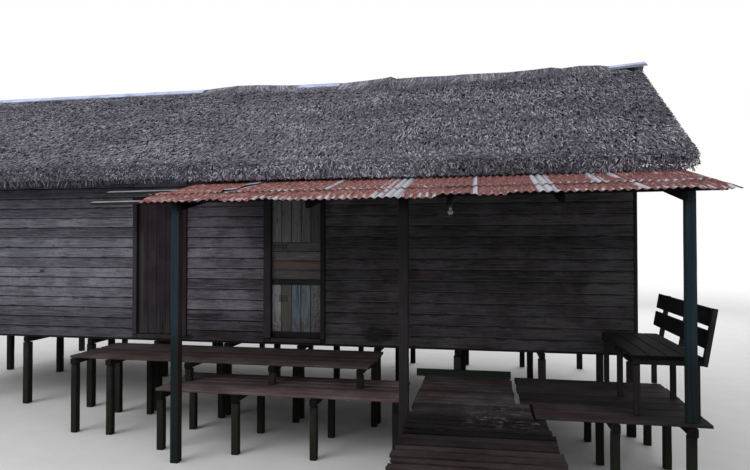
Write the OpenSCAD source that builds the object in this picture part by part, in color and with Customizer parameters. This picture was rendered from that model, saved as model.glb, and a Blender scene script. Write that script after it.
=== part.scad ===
// Timber stilt house: thatched gable roof, boarded walls, corrugated lean-to porch, plank decks.
// Millimetres. +Z is up, the front wall faces -Y, the ground is z = 0.
// The origin is on the ground under the middle of the house.

/* [House] */
// Length of the house over the cladding
house_length = 10300; // [9400:100:12000]
// Depth of the house over the cladding
house_depth = 4000; // [3600:100:4600]
// Height of the lower edge of the cladding above the ground
wall_base = 985; // [960:5:1200]
// Height of the floor's upper face above the cladding's lower edge
floor_rise = 52; // [40:1:70]
// Number of bays between the columns of stilts
stilt_bays = 10; // [8:2:12]
// Width of a square stilt
stilt_size = 95; // [80:5:120]

/* [Floor frame] */
// Height of the cross bearers on the stilts
bearer_h = 80; // [60:5:100]
// Width of the cross bearers
bearer_w = 70; // [50:5:90]
// Height of the floor joists
joist_h = 60; // [45:5:80]
// Width of the floor joists
joist_w = 60; // [45:5:80]
// Number of floor joists
joist_count = 7; // [5:1:9]
// Thickness of the floor
floor_t = 22; // [18:1:30]

/* [Walls] */
// Width of the square studs and plates
stud = 70; // [50:5:80]
// Height of the wall plates at their outer face
plate_h = 70; // [50:5:90]
// Thickness of a cladding board at its lower edge
cladding_t = 22; // [18:1:28]
// Thickness of a cladding board where the next one laps it
cladding_lap_t = 10; // [6:1:14]
// Height that each cladding board shows
board_exposure = 138; // [110:2:160]
// Width of the upright boards at the corners
corner_board_w = 40; // [30:5:110]
// Height of the tie beams
tie_h = 80; // [60:5:100]

/* [Roof] */
// Height of the thatch at the ridge
ridge_height = 4912; // [4800:4:5300]
// Pitch of the roof in degrees
roof_pitch = 34; // [31:0.5:36]
// Thickness of the thatch, square to the slope
thatch_t = 120; // [90:5:150]
// Length of slope that each thatch course shows
course_exposure = 145; // [110:5:220]
// Step of the thatch at the lower edge of each course
course_step = 16; // [8:1:24]
// Eave overhang in front of the wall
eave_overhang = 475; // [350:5:520]
// Overhang of the thatch past the gable wall
verge_overhang = 540; // [350:10:650]
// Depth of the rafters, square to the slope
rafter_h = 80; // [60:5:95]
// Width of the rafters
rafter_w = 60; // [45:5:80]
// Length of the rafter tails past the wall
rafter_tail = 190; // [120:5:230]
// Thickness of the battens
batten_t = 35; // [25:1:45]
// Width of the battens
batten_w = 50; // [35:5:70]
// Number of battens on each slope
batten_count = 8; // [6:1:10]
// Depth of the ridge pole
ridge_pole_h = 120; // [90:5:150]
// Thickness of the folded ridge sheets
ridge_sheet_t = 3; // [2:0.5:5]
// Width of each wing of a ridge sheet, measured level
ridge_sheet_wing = 150; // [110:5:190]
// Angle in degrees at which the right ridge sheet has lifted
ridge_sheet_lift = 4.5; // [2:0.5:6]
// Length of each of the two long ridge sheets at the left
long_ridge_sheet = 2180; // [1900:10:2300]
// Length of the short ridge sheet
short_ridge_sheet = 680; // [500:10:900]
// Place of the short ridge sheet's left end along the ridge
short_ridge_sheet_x = 389; // [300:1:600]
// Length of the lifted ridge sheet at the right end
lifted_ridge_sheet = 605; // [500:5:700]
// Thickness of the leaves folded over the ridge where no sheet covers it
ridge_cap_t = 30; // [15:1:50]
// Width of each side of the folded leaves, measured level
ridge_cap_wing = 300; // [200:10:400]

/* [Doors] */
// Middle of the left door
left_door_x = -959; // [-1060:1:-900]
// Width of the left door over its frame
left_door_w = 798; // [740:2:860]
// Middle of the right door
right_door_x = 948; // [900:1:1060]
// Width of the right door over its frame
right_door_w = 830; // [760:2:880]
// Gap between the right door's frame and the porch ledger above it
head_gap = 8; // [5:1:30]
// Width of the door jambs and heads
jamb_w = 60; // [50:1:75]
// Width of the hinge jamb of the right door
wide_jamb_w = 96; // [60:1:110]
// Depth of the door frames through the wall
jamb_depth = 100; // [95:1:110]
// Distance that the door frames stand proud of the cladding
jamb_proud = 15; // [8:1:25]
// Thickness of the door boards
leaf_board_t = 24; // [18:1:28]
// Thickness of the ledges and rails
ledge_t = 27; // [20:1:32]
// Height of the ledges and rails
ledge_h = 90; // [70:5:110]
// Gap round each door leaf
leaf_gap = 7; // [6:0.5:10]
// Gap between the boards of a door
leaf_board_gap = 2; // [1:0.5:4]
// Height of the top of the right door's low panel, as a share of the leaf's height
low_panel_share = 0.38; // [0.34:0.01:0.40]
// Height of the top of the right door's middle panel, as a share of the leaf's height
mid_panel_share = 0.69; // [0.64:0.01:0.72]

/* [Hinges] */
// Radius of the hinge pins
pin_r = 5; // [4:0.5:6]
// Radial clearance of the pins in the strap eyes
pin_gap = 0.1; // [0.05:0.01:0.2]
// Outer radius of the strap eyes
eye_r = 9; // [8:0.5:10]
// Thickness of the straps
strap_t = 4; // [3:0.5:5]
// Height of the straps
strap_h = 36; // [30:2:50]
// Length of the straps along the leaf
strap_length = 300; // [200:10:400]

/* [Porch roof] */
// Left edge of the porch sheets
porch_left = -205; // [-400:5:100]
// Distance that the porch sheets pass the right end of the house
porch_past_end = 410; // [200:10:500]
// Distance of the sheets' front edge from the front wall
porch_depth = 1850; // [1800:10:1950]
// Distance of the sheets' troughs below the eave of the thatch, at the middle of the porch
sheets_under_eave = 82; // [76:1:110]
// Pitch of the porch roof in degrees
porch_pitch = 12.5; // [11:0.5:12.5]
// Rise of the porch roof from its left end to its right end
porch_rise = 55; // [20:5:80]
// Pitch of the corrugations
corrugation = 76; // [60:2:90]
// Depth of the corrugations
corrugation_depth = 18; // [12:1:22]
// Thickness of the sheets, measured upright
sheet_t = 1.2; // [1:0.1:2]
// Number of sheets side by side
sheet_count = 7; // [6:1:10]
// Length of slope to the front edge of the upper course
upper_course_start = 560; // [400:10:700]
// End lap of the two courses
end_lap = 160; // [100:10:250]
// Height of the porch purlins
purlin_h = 30; // [25:1:50]
// Width of the porch purlins
purlin_w = 80; // [60:5:90]
// Distance that the front purlin pokes out past the sheets on the left
front_purlin_poke = 570; // [200:5:700]
// Distance that the middle purlin pokes out past the sheets on the left
middle_purlin_poke = 1015; // [300:5:1200]
// Height of the porch rafters
porch_rafter_h = 70; // [50:5:80]
// Width of the porch rafters
porch_rafter_w = 50; // [40:5:70]
// Height of the ledger at its front
ledger_h = 60; // [50:1:80]
// Thickness of the ledger
ledger_t = 60; // [40:5:70]

/* [Porch posts] */
// Width of the square porch posts
post_size = 90; // [75:5:100]
// Distance of the posts from the front wall
post_distance = 1660; // [1640:5:1700]
// Middle of the left porch post
left_post_x = 217; // [150:1:300]
// Middle of the middle porch post
middle_post_x = 2612; // [2560:2:2660]
// Distance of the right post's middle past the end of the house
right_post_past_end = 40; // [20:5:60]

/* [Decks] */
// Height of the decks above the ground
deck_top = 680; // [640:5:700]
// Thickness of the deck boards
deck_board_t = 30; // [22:1:35]
// Gap between the deck boards
deck_gap = 7; // [4:1:12]
// Height of the deck bearers
deck_bearer_h = 90; // [70:5:110]
// Width of the deck bearers
deck_bearer_w = 70; // [50:5:80]
// Width of a square deck stilt
deck_stilt = 80; // [60:5:90]
// Height of the raised walkway above the ground
walkway_top = 925; // [900:5:950]
// Left end of the walkway
walkway_left = -1557; // [-1700:1:-1450]
// Right end of the walkway
walkway_right = 2167; // [2110:1:2300]
// Distance of the walkway's front edge from the front wall
walkway_front = 1030; // [1000:5:1060]
// Left end of the left deck
left_deck_left = -200; // [-400:5:-100]
// Distance of the left deck's front edge from the front wall
left_deck_front = 1394; // [1350:2:1450]
// Distance of the left deck's back edge from the front wall
left_deck_back = 540; // [500:5:700]
// Right end of the middle deck
middle_deck_right = 3690; // [3640:5:3760]
// Distance of the middle deck's front edge from the front wall
middle_deck_front = 1280; // [1200:10:1360]
// Distance of the backs of the middle and right decks from the front wall
deck_back = 120; // [100:5:140]
// Distance that the right deck passes the end of the house
right_deck_past_end = 210; // [150:5:260]
// Distance of the right deck's front edge from the front wall
right_deck_front = 1740; // [1730:5:1780]
// Distance that the front of the right deck stops short, so that the boardwalk runs beside it
deck_notch = 105; // [60:5:140]
// Width of the boardwalk at its far end
boardwalk_w = 1320; // [1250:5:1400]
// Widening of the boardwalk from the right deck to its far end
boardwalk_flare = 75; // [0:5:120]
// Distance of the boardwalk's far end from the front wall
boardwalk_front = 3230; // [3000:10:3500]
// Height of the green beam at the back of the middle deck
green_beam_h = 85; // [60:5:110]
// Distance that the green beam passes the middle deck on the left
green_beam_past = 112; // [60:1:120]
// Uneven ends of the old boards
ragged = 24; // [5:1:30]

/* [Bench] */
// Height of the bench seat above the deck
seat_height = 560; // [450:5:600]
// Width of the bench seat
seat_width = 605; // [560:5:640]
// Length of the bench seat
seat_length = 1470; // [1300:5:1480]
// Width of the square bench legs
bench_leg = 54; // [46:2:70]
// Height of the bench back above the seat
back_height = 450; // [380:10:520]
// Distance of the bench from the front wall
bench_wall_gap = 80; // [60:5:120]
// Lean of the bench back in degrees
back_lean = 10; // [5:1:14]

/* [Porch lamp] */
// Place of the lamp along the front
lamp_x = 3050; // [2950:5:3150]
// Radius of the bulb
bulb_r = 30; // [22:1:35]
// Length of the lamp holder
holder_h = 52; // [40:1:70]

/* [Hidden] */

$fn = 48;
// Clearance where sloping faces seat on each other
seat_gap = 0.3;
half_length = house_length / 2;
half_depth = house_depth / 2;

// Levels of the house floor
floor_top = wall_base + floor_rise;
joist_top = floor_top - floor_t;
bearer_top = joist_top - joist_h;
stilt_top = bearer_top - bearer_h;

// Outer and inner faces of the timber frame behind the cladding
frame_x = half_length - cladding_t;
frame_y = half_depth - cladding_t;
inner_y = frame_y - stud;
stilt_edge_x = frame_x - stilt_size / 2;
stilt_edge_y = frame_y - stilt_size / 2;
stilt_pitch = 2 * stilt_edge_x / stilt_bays;
stud_edge_x = frame_x - stud / 2;
stud_edge_y = frame_y - stud / 2;
stud_pitch = 2 * stud_edge_x / stilt_bays;

// Heights on the roof at a distance y from the ridge, for a plane "down" below the thatch top
function roof_z(y, down) = ridge_height - down / cos(roof_pitch) - y * tan(roof_pitch);
batten_top_down = thatch_t + seat_gap;
rafter_top_down = batten_top_down + batten_t + seat_gap;
rafter_bottom_down = rafter_top_down + rafter_h;
plate_top_down = rafter_bottom_down + seat_gap;
eave_y = half_depth + eave_overhang;
verge_x = half_length + verge_overhang;
plate_bottom = roof_z(frame_y, plate_top_down) - plate_h;
cladding_under_rafters = 15;
cladding_top = roof_z(half_depth, rafter_bottom_down) - cladding_under_rafters;

// Porch roof frame: x from its middle, y up the slope from the front edge, z square to the slope
porch_right = half_length + porch_past_end;
porch_length = porch_right - porch_left;
porch_mid = (porch_left + porch_right) / 2;
porch_tilt = atan(porch_rise / porch_length);
porch_front = half_depth + porch_depth;
porch_front_z = roof_z(eave_y, thatch_t) - sheets_under_eave
    - (porch_front - eave_y) * tan(porch_pitch);
wall_clear = 12;
sheet_run = (porch_depth - wall_clear) / cos(porch_pitch);
purlin_top = -seat_gap;
purlin_bottom = purlin_top - purlin_h;
porch_rafter_top = purlin_bottom - seat_gap;
porch_rafter_bottom = porch_rafter_top - porch_rafter_h;
// Height of a plane of the porch roof, h square to the slope
function porch_z(x, y, h) = porch_front_z + (x - porch_mid) * tan(porch_tilt)
    + ((y + porch_front) * tan(porch_pitch) + h / cos(porch_pitch)) / cos(porch_tilt);
post_y = -half_depth - post_distance;
post_slope = (porch_depth - post_distance) / cos(porch_pitch);
// Places of the middle purlin, as a share of the slope, and of the one near the wall
middle_purlin_share = 0.6;
wall_purlin_gap = 30;
middle_purlin_slope = sheet_run * middle_purlin_share;
wall_purlin_slope = sheet_run - purlin_w / 2 - wall_purlin_gap;
right_post_x = half_length + right_post_past_end;

// The ledger lies against the front wall under the porch rafters
ledger_back_y = -half_depth - seat_gap;
ledger_front_y = ledger_back_y - ledger_t;
// Height of the ledger's bevelled top above the sheets' front edge
function ledger_top(y) = (y + porch_front) * tan(porch_pitch)
    + (porch_rafter_bottom - seat_gap) / cos(porch_pitch);
function ledger_bottom(x) = porch_front_z + (x - porch_mid) * tan(porch_tilt)
    + (ledger_top(ledger_front_y) - ledger_h) / cos(porch_tilt);

// Doors
left_frame = [left_door_x - left_door_w / 2, left_door_x + left_door_w / 2];
right_frame = [right_door_x - right_door_w / 2, right_door_x + right_door_w / 2];
left_opening = [left_frame[0] + jamb_w, left_frame[1] - jamb_w];
right_opening = [right_frame[0] + wide_jamb_w, right_frame[1] - jamb_w];
// Whole millimetres, so that the boards, rails and heads meet exactly
door_frame_top = floor(ledger_bottom(right_frame[0]) - head_gap);
jamb_out = -half_depth - jamb_proud;
jamb_in = jamb_out + jamb_depth;
threshold_rise = 5;
threshold_top = floor_top + threshold_rise;
leaf_bottom = threshold_top + leaf_gap;
leaf_top = door_frame_top - jamb_w - leaf_gap;
// Small clearance used between the hinge parts, the leaves and the jambs
slack = 1;
leaf_in = jamb_in + slack;
ledge_out = leaf_in - ledge_t;
leaf_out = ledge_out - leaf_board_t;
// The hinge axis stands clear of the jamb's inner face by the eye and the slack
hinge_y = jamb_in + eye_r + slack;
hinge_in = 3;
strap_inset = 240;
strap_z = [leaf_bottom + strap_inset, leaf_top - strap_inset];

// Decks
deck_board_bottom = deck_top - deck_board_t;
deck_bearer_bottom = deck_board_bottom - deck_bearer_h;
walkway_wall_gap = 50;
left_deck_post_gap = 20;
middle_deck_post_gap = 15;
right_deck_gap = 30;
boardwalk_inset = 5;
boardwalk_gap = 8;
beside_gap = 5;
walkway_x = [walkway_left, walkway_right];
walkway_y = [-half_depth - walkway_front, -half_depth - walkway_wall_gap];
// The left and middle decks stop short of the middle post, the right deck short of the middle deck
left_deck_x = [left_deck_left, middle_post_x - post_size / 2 - left_deck_post_gap];
left_deck_y = [-half_depth - left_deck_front, -half_depth - left_deck_back];
middle_deck_x = [middle_post_x + post_size / 2 + middle_deck_post_gap, middle_deck_right];
middle_deck_y = [-half_depth - middle_deck_front, -half_depth - deck_back];
right_deck_x = [middle_deck_right + right_deck_gap, half_length + right_deck_past_end];
right_deck_y = [-half_depth - right_deck_front, -half_depth - deck_back];
boardwalk_left = middle_deck_x[0] + boardwalk_inset;
boardwalk_x = [boardwalk_left, boardwalk_left + boardwalk_w];
boardwalk_y = [-half_depth - boardwalk_front, middle_deck_y[0] - boardwalk_gap];
walkway_board_bottom = walkway_top - deck_board_t;
walkway_bearer_h = 70;
walkway_bearer_bottom = walkway_board_bottom - walkway_bearer_h;

// Bench on the right deck
bench_edge_gap = 30;
seat_right = right_deck_x[1] - bench_edge_gap;
seat_left = seat_right - seat_width;
seat_back_y = -half_depth - bench_wall_gap;
seat_front_y = seat_back_y - seat_length;
seat_top = deck_top + seat_height;
seat_board_t = 30;
bench_rail_h = 60;
rail_bottom = seat_top - seat_board_t - bench_rail_h;
bench_leg_inset = 45;
bench_leg_y = [
    seat_front_y + bench_leg_inset,
    (seat_front_y + seat_back_y) / 2,
    seat_back_y - bench_leg_inset
];
bench_rail_y = 25;

// Shapes used by many pieces
module box(x, y, z) {
    translate([x[0], y[0], z[0]]) cube([x[1] - x[0], y[1] - y[0], z[1] - z[0]]);
}

module square_post(x, y, size, z) {
    box([x - size / 2, x + size / 2], [y - size / 2, y + size / 2], z);
}

// Extrudes a profile drawn in Y and Z along X
module along_x(x) {
    translate([x[0], 0, 0]) rotate([90, 0, 90]) linear_extrude(x[1] - x[0]) children();
}

// Extrudes a profile drawn in X and Z along Y
module along_y(y) {
    translate([0, y[1], 0]) rotate([90, 0, 0]) linear_extrude(y[1] - y[0]) children();
}

// A row of boards that run along X, with uneven ends
module boards_along_x(x, y, top, t, count, gap, uneven) {
    width = (y[1] - y[0] - gap * (count - 1)) / count;
    for (i = [0 : count - 1]) {
        y0 = y[0] + i * (width + gap);
        cut_left = uneven * (0.5 + 0.5 * sin(137 * i));
        cut_right = uneven * (0.5 + 0.5 * sin(101 * i + 60));
        box([x[0] + cut_left, x[1] - cut_right], [y0, y0 + width], [top - t, top]);
    }
}

// Saw-tooth outline of lapped boards: outer face towards negative first coordinate
function lap_steps(z0, z1, exposure) = ceil((z1 - z0) / exposure);
function lap_outline(outer, z0, z1) = concat(
    [for (i = [0 : lap_steps(z0, z1, board_exposure) - 1])
        for (end = [0, 1])
            let (
                low = z0 + i * board_exposure,
                high = min(z1, low + board_exposure),
                thin = (high - low) / board_exposure * (cladding_t - cladding_lap_t)
            )
            end == 0 ? [outer, low] : [outer + thin, high]],
    [[outer + cladding_t, z1], [outer + cladding_t, z0]]);

module lapped_wall(x, z0, z1) {
    along_x(x) polygon(lap_outline(-half_depth, z0, z1));
}

// House on stilts
module house_stilts() {
    color("dimgray")
    for (i = [0 : stilt_bays], j = [-1, 0, 1])
        square_post(-stilt_edge_x + i * stilt_pitch, j * stilt_edge_y, stilt_size, [0, stilt_top]);
}

module cross_bearers() {
    color("dimgray")
    for (i = [0 : stilt_bays]) {
        x = -stilt_edge_x + i * stilt_pitch;
        box([x - bearer_w / 2, x + bearer_w / 2], [-frame_y, frame_y], [stilt_top, bearer_top]);
    }
}

module floor_joists() {
    color("dimgray")
    for (i = [0 : joist_count - 1]) {
        y = -frame_y + joist_w / 2 + i * (2 * frame_y - joist_w) / (joist_count - 1);
        box([-frame_x, frame_x], [y - joist_w / 2, y + joist_w / 2], [bearer_top, joist_top]);
    }
}

module floor() {
    color("rosybrown") box([-frame_x, frame_x], [-frame_y, frame_y], [joist_top, floor_top]);
}

// Wall frame
function in_door(x, frame) = x > frame[0] - stud && x < frame[1] + stud;

module wall_studs() {
    color("gray") {
        for (i = [0 : stilt_bays]) {
            x = -stud_edge_x + i * stud_pitch;
            square_post(x, stud_edge_y, stud, [floor_top, plate_bottom]);
            if (!in_door(x, left_frame) && !in_door(x, right_frame))
                square_post(x, -stud_edge_y, stud, [floor_top, plate_bottom]);
        }
        for (frame = [left_frame, right_frame]) {
            square_post(frame[0] - stud / 2, -stud_edge_y, stud, [floor_top, plate_bottom]);
            square_post(frame[1] + stud / 2, -stud_edge_y, stud, [floor_top, plate_bottom]);
            square_post((frame[0] + frame[1]) / 2, -stud_edge_y, stud,
                [door_frame_top, plate_bottom]);
        }
        for (side = [-1, 1], j = [-1, 0, 1])
            square_post(side * stud_edge_x, j * frame_y * 0.5, stud, [floor_top, plate_bottom]);
    }
}

module wall_plates() {
    color("gray") {
        for (side = [0, 1])
            mirror([0, side, 0])
            along_x([-frame_x, frame_x])
            polygon([
                [-frame_y, plate_bottom],
                [-inner_y, plate_bottom],
                [-inner_y, roof_z(inner_y, plate_top_down)],
                [-frame_y, roof_z(frame_y, plate_top_down)]
            ]);
        for (i = [0 : 2 : stilt_bays]) {
            x = -stud_edge_x + i * stud_pitch;
            box([x - stud / 2, x + stud / 2], [-inner_y + seat_gap, inner_y - seat_gap],
                [plate_bottom, plate_bottom + tie_h]);
        }
    }
}

// Roof frame
module ridge_frame() {
    pole_half = stud / 2;
    pole_bottom = roof_z(pole_half, plate_top_down) - ridge_pole_h;
    color("gray") {
        along_x([-frame_x, frame_x])
        polygon([
            [-pole_half, pole_bottom],
            [pole_half, pole_bottom],
            [pole_half, roof_z(pole_half, plate_top_down)],
            [0, roof_z(0, plate_top_down)],
            [-pole_half, roof_z(pole_half, plate_top_down)]
        ]);
        for (i = [0 : 2 : stilt_bays])
            square_post(-stud_edge_x + i * stud_pitch, 0, stud,
                [plate_bottom + tie_h, pole_bottom - seat_gap]);
    }
}

module rafters() {
    tail_y = half_depth + rafter_tail;
    color("gray")
    for (i = [0 : stilt_bays], side = [0, 1]) {
        x = -frame_x + rafter_w / 2 + i * (2 * frame_x - rafter_w) / stilt_bays;
        mirror([0, side, 0])
        along_x([x - rafter_w / 2, x + rafter_w / 2])
        polygon([
            [-seat_gap, roof_z(seat_gap, rafter_top_down)],
            [-seat_gap, roof_z(seat_gap, rafter_bottom_down)],
            [-tail_y, roof_z(tail_y, rafter_bottom_down)],
            [-tail_y, roof_z(tail_y, rafter_top_down)]
        ]);
    }
}

module roof_battens() {
    first = 90;
    last = half_depth + rafter_tail - batten_w;
    end_x = verge_x - 60;
    color("tan")
    for (i = [0 : batten_count - 1], side = [0, 1]) {
        y = first + i * (last - first) / (batten_count - 1);
        mirror([0, side, 0])
        translate([-end_x, -y, roof_z(y, batten_top_down)])
        rotate([roof_pitch, 0, 0])
        translate([0, -batten_w / 2, -batten_t])
        cube([2 * end_x, batten_w, batten_t]);
    }
}

// Outline of one slope of coursed thatch, drawn for the front slope
function slope_point(s, h) = [
    -s * cos(roof_pitch) - h * sin(roof_pitch),
    ridge_height - thatch_t / cos(roof_pitch) - s * sin(roof_pitch) + h * cos(roof_pitch)
];
course_run = (eave_y - thatch_t * sin(roof_pitch)) / cos(roof_pitch);
course_count = round(course_run / course_exposure);
thatch_outline = concat(
    [[0, roof_z(0, thatch_t)], [0, ridge_height]],
    [for (i = [1 : course_count])
        for (part = i < course_count ? [0, 1] : [0])
            slope_point(i * course_run / course_count, thatch_t - part * course_step)],
    [[-eave_y, roof_z(eave_y, thatch_t)]]);

// Stretches of the ridge between the sheets, and on under the lifted sheet's left end
ridge_sheet_gap = 5;
ridge_cap_under = 100;
sheet_past_verge = 60;
sheet_inside_verge = 20;
ridge_sheets_x = -verge_x + sheet_inside_verge;
long_sheet_step = long_ridge_sheet + ridge_sheet_gap;
lifted_sheet_x = verge_x + sheet_past_verge - lifted_ridge_sheet;
ridge_cap_spans = [
    [ridge_sheets_x + 2 * long_sheet_step, short_ridge_sheet_x - ridge_sheet_gap],
    [short_ridge_sheet_x + short_ridge_sheet + ridge_sheet_gap, lifted_sheet_x + ridge_cap_under]
];

// Front half of the leaves folded over the ridge, sunk into the courses below them
module ridge_cap(x) {
    along_x(x)
    polygon([
        [0, ridge_height - thatch_t / 2],
        [0, roof_z(0, -ridge_cap_t)],
        [-ridge_cap_wing, roof_z(ridge_cap_wing, -ridge_cap_t)],
        [-ridge_cap_wing, roof_z(ridge_cap_wing, thatch_t / 2)]
    ]);
}

module thatch_slope() {
    along_x([-verge_x, verge_x]) polygon(thatch_outline);
    for (span = ridge_cap_spans)
        ridge_cap(span);
}

module front_thatch() {
    color("darkgray") thatch_slope();
}

module back_thatch() {
    color("darkgray") mirror([0, 1, 0]) thatch_slope();
}

// A folded sheet over the ridge, with x measured from its left end
module ridge_sheet(length) {
    drop = ridge_sheet_wing * tan(roof_pitch);
    along_x([0, length])
    polygon([
        [-ridge_sheet_wing, -drop],
        [0, 0],
        [ridge_sheet_wing, -drop],
        [ridge_sheet_wing, ridge_sheet_t - drop],
        [0, ridge_sheet_t],
        [-ridge_sheet_wing, ridge_sheet_t - drop]
    ]);
}

module ridge_sheets() {
    z = roof_z(0, -seat_gap);
    color("lightsteelblue") {
        for (x = [ridge_sheets_x, ridge_sheets_x + long_sheet_step])
            translate([x, 0, z]) ridge_sheet(long_ridge_sheet);
        translate([short_ridge_sheet_x, 0, z]) ridge_sheet(short_ridge_sheet);
        translate([lifted_sheet_x, 0, roof_z(0, -ridge_cap_t - seat_gap)])
            rotate([0, -ridge_sheet_lift, 0])
            ridge_sheet(lifted_ridge_sheet);
    }
}

// Cladding
module front_wall_left() {
    color("gray")
    lapped_wall([-half_length + corner_board_w, left_frame[0]], wall_base, cladding_top);
}

module front_wall_middle() {
    color("rosybrown") lapped_wall([left_frame[1], right_frame[0]], wall_base, cladding_top);
}

module front_wall_right() {
    color("gray")
    lapped_wall([right_frame[1], half_length - corner_board_w], wall_base, cladding_top);
}

module front_wall_heads() {
    color("gray")
    for (frame = [left_frame, right_frame])
        lapped_wall(frame, door_frame_top, cladding_top);
}

module back_wall() {
    color("gray")
    mirror([0, 1, 0])
    lapped_wall([-half_length + corner_board_w, half_length - corner_board_w],
        wall_base, cladding_top);
}

// Gable wall at the left end: lapped boards cut to the line of the rafters' upper faces
module gable_wall() {
    top = roof_z(0, rafter_top_down + seat_gap);
    intersection() {
        along_y([-frame_y, frame_y]) polygon(lap_outline(-half_length, wall_base, top));
        along_x([-half_length - slack, -frame_x + slack])
        polygon([
            [-frame_y, wall_base],
            [frame_y, wall_base],
            [frame_y, roof_z(frame_y, rafter_top_down + seat_gap)],
            [0, top],
            [-frame_y, roof_z(frame_y, rafter_top_down + seat_gap)]
        ]);
    }
}

module left_gable_wall() {
    color("gray") gable_wall();
}

module right_gable_wall() {
    color("gray") mirror([1, 0, 0]) gable_wall();
}

module corner_boards() {
    color("darkgray")
    for (sx = [0, 1], sy = [0, 1])
        mirror([sx, 0, 0]) mirror([0, sy, 0])
        box([-half_length, -half_length + corner_board_w], [-half_depth, -frame_y],
            [wall_base, cladding_top]);
}

// Door frames: two jambs, a head and a threshold
module door_frame(frame, opening) {
    y = [jamb_out, jamb_in];
    head_bottom = door_frame_top - jamb_w;
    cladding_y = [-half_depth, -frame_y];
    foot_z = [wall_base, floor_top - seat_gap];
    box([frame[0], opening[0]], y, [floor_top, head_bottom - seat_gap]);
    box([opening[1], frame[1]], y, [floor_top, head_bottom - seat_gap]);
    box(frame, y, [head_bottom, door_frame_top]);
    box([opening[0] + seat_gap, opening[1] - seat_gap], cladding_y, [wall_base, threshold_top]);
    box([frame[0], opening[0] - seat_gap], cladding_y, foot_z);
    box([opening[1] + seat_gap, frame[1]], cladding_y, foot_z);
}

module left_door_frame() {
    color("saddlebrown") door_frame(left_frame, left_opening);
}

module right_door_frame() {
    color("dimgray") door_frame(right_frame, right_opening);
}

// Upright boards of a door between two heights
module upright_boards(x, z, count) {
    width = (x[1] - x[0] - leaf_board_gap * (count - 1)) / count;
    for (i = [0 : count - 1]) {
        x0 = x[0] + i * (width + leaf_board_gap);
        box([x0, x0 + width], [leaf_out, ledge_out], z);
    }
}

module flat_boards(x, z, count) {
    height = (z[1] - z[0] - leaf_board_gap * (count - 1)) / count;
    for (i = [0 : count - 1]) {
        z0 = z[0] + i * (height + leaf_board_gap);
        box(x, [leaf_out, ledge_out], [z0, z0 + height]);
    }
}

left_leaf = [left_opening[0] + leaf_gap, left_opening[1] - leaf_gap - slack];
right_leaf = [right_opening[0] + leaf_gap, right_opening[1] - leaf_gap - slack];

module left_door_boards() {
    color("maroon") upright_boards(left_leaf, [leaf_bottom, leaf_top], 5);
}

module ledges(leaf) {
    for (z = strap_z)
        box([leaf[0] + slack, leaf[1] - slack], [ledge_out, leaf_in], [z - ledge_h / 2, z + ledge_h / 2]);
}

module left_door_ledges() {
    color("maroon") ledges(left_leaf);
}

// Heights of the patchwork panels of the right door
rail_h = 78;
leaf_h = leaf_top - leaf_bottom;
low_panel = [leaf_bottom + rail_h, leaf_bottom + round(low_panel_share * leaf_h)];
mid_panel = [low_panel[1] + rail_h, leaf_bottom + round(mid_panel_share * leaf_h)];
top_panel = [mid_panel[1], leaf_top];

module right_door_boards() {
    color("lightgray") {
        upright_boards(right_leaf, low_panel, 5);
        flat_boards(right_leaf, mid_panel, 4);
        upright_boards(right_leaf, [top_panel[0] + leaf_board_gap, top_panel[1]], 5);
    }
}

// Two rails in the plane of the boards, ledges behind them, and stiles behind the level boards
module right_door_rails() {
    x = [right_leaf[0] + slack, right_leaf[1] - slack];
    stile_w = 70;
    stile_z = [mid_panel[0] + seat_gap, mid_panel[1] - ledge_h / 2 - seat_gap];
    color("dimgray") {
        ledges(right_leaf);
        box(x, [leaf_out, leaf_in], [leaf_bottom, low_panel[0]]);
        box(x, [leaf_out, leaf_in], [low_panel[1], mid_panel[0]]);
        box(x, [ledge_out, leaf_in], [mid_panel[1] - ledge_h / 2, mid_panel[1] + ledge_h / 2]);
        box([x[0], x[0] + stile_w], [ledge_out, leaf_in], stile_z);
        box([x[1] - stile_w, x[1]], [ledge_out, leaf_in], stile_z);
    }
}

// Strap hinge: a flat strap on the ledge with an eye round the pin
module door_straps(opening, leaf) {
    x = opening[0] + hinge_in;
    for (z = strap_z)
        difference() {
            union() {
                translate([x, hinge_y, z - strap_h / 2]) cylinder(r = eye_r, h = strap_h);
                box([x, x + strap_length], [hinge_y - eye_r, hinge_y - eye_r + strap_t],
                    [z - strap_h / 2, z + strap_h / 2]);
            }
            translate([x, hinge_y, z - strap_h / 2 - slack])
                cylinder(r = pin_r + pin_gap, h = strap_h + 2 * slack);
        }
}

module left_door_straps() {
    color("black") door_straps(left_opening, left_leaf);
}

module right_door_straps() {
    color("black") door_straps(right_opening, right_leaf);
}

// Hook on the jamb: a plate, an arm under the eye and an upright pin
module hinge_hooks() {
    arm_h = 10;
    arm_gap = 0.3;
    plate_x = [-45, 2];
    pin_above = 8;
    color("black")
    for (opening = [left_opening, right_opening], z = strap_z) {
        x = opening[0] + hinge_in;
        top = z - strap_h / 2 - arm_gap;
        box([x + plate_x[0], x + plate_x[1]], [jamb_in, hinge_y + pin_r], [top - arm_h, top]);
        translate([x, hinge_y, top - arm_h]) cylinder(r = pin_r, h = arm_h + strap_h + pin_above);
    }
}

// Porch roof
module porch_tilted() {
    translate([porch_mid, 0, porch_front_z]) rotate([0, -porch_tilt, 0]) children();
}

module porch_slope() {
    porch_tilted() translate([0, -porch_front, 0]) rotate([porch_pitch, 0, 0]) children();
}

module porch_post(x, bottom) {
    lean = post_size / 2 * tan(porch_tilt);
    y = [post_y - post_size / 2, post_y + post_size / 2];
    along_x([x - post_size / 2, x + post_size / 2])
    polygon([
        [y[0], bottom],
        [y[1], bottom],
        [y[1], porch_z(x, y[1], purlin_bottom - seat_gap) - lean],
        [y[0], porch_z(x, y[0], purlin_bottom - seat_gap) - lean]
    ]);
}

module painted_porch_posts() {
    color("darkslategray") {
        porch_post(left_post_x, 0);
        porch_post(right_post_x, deck_top);
    }
}

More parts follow.
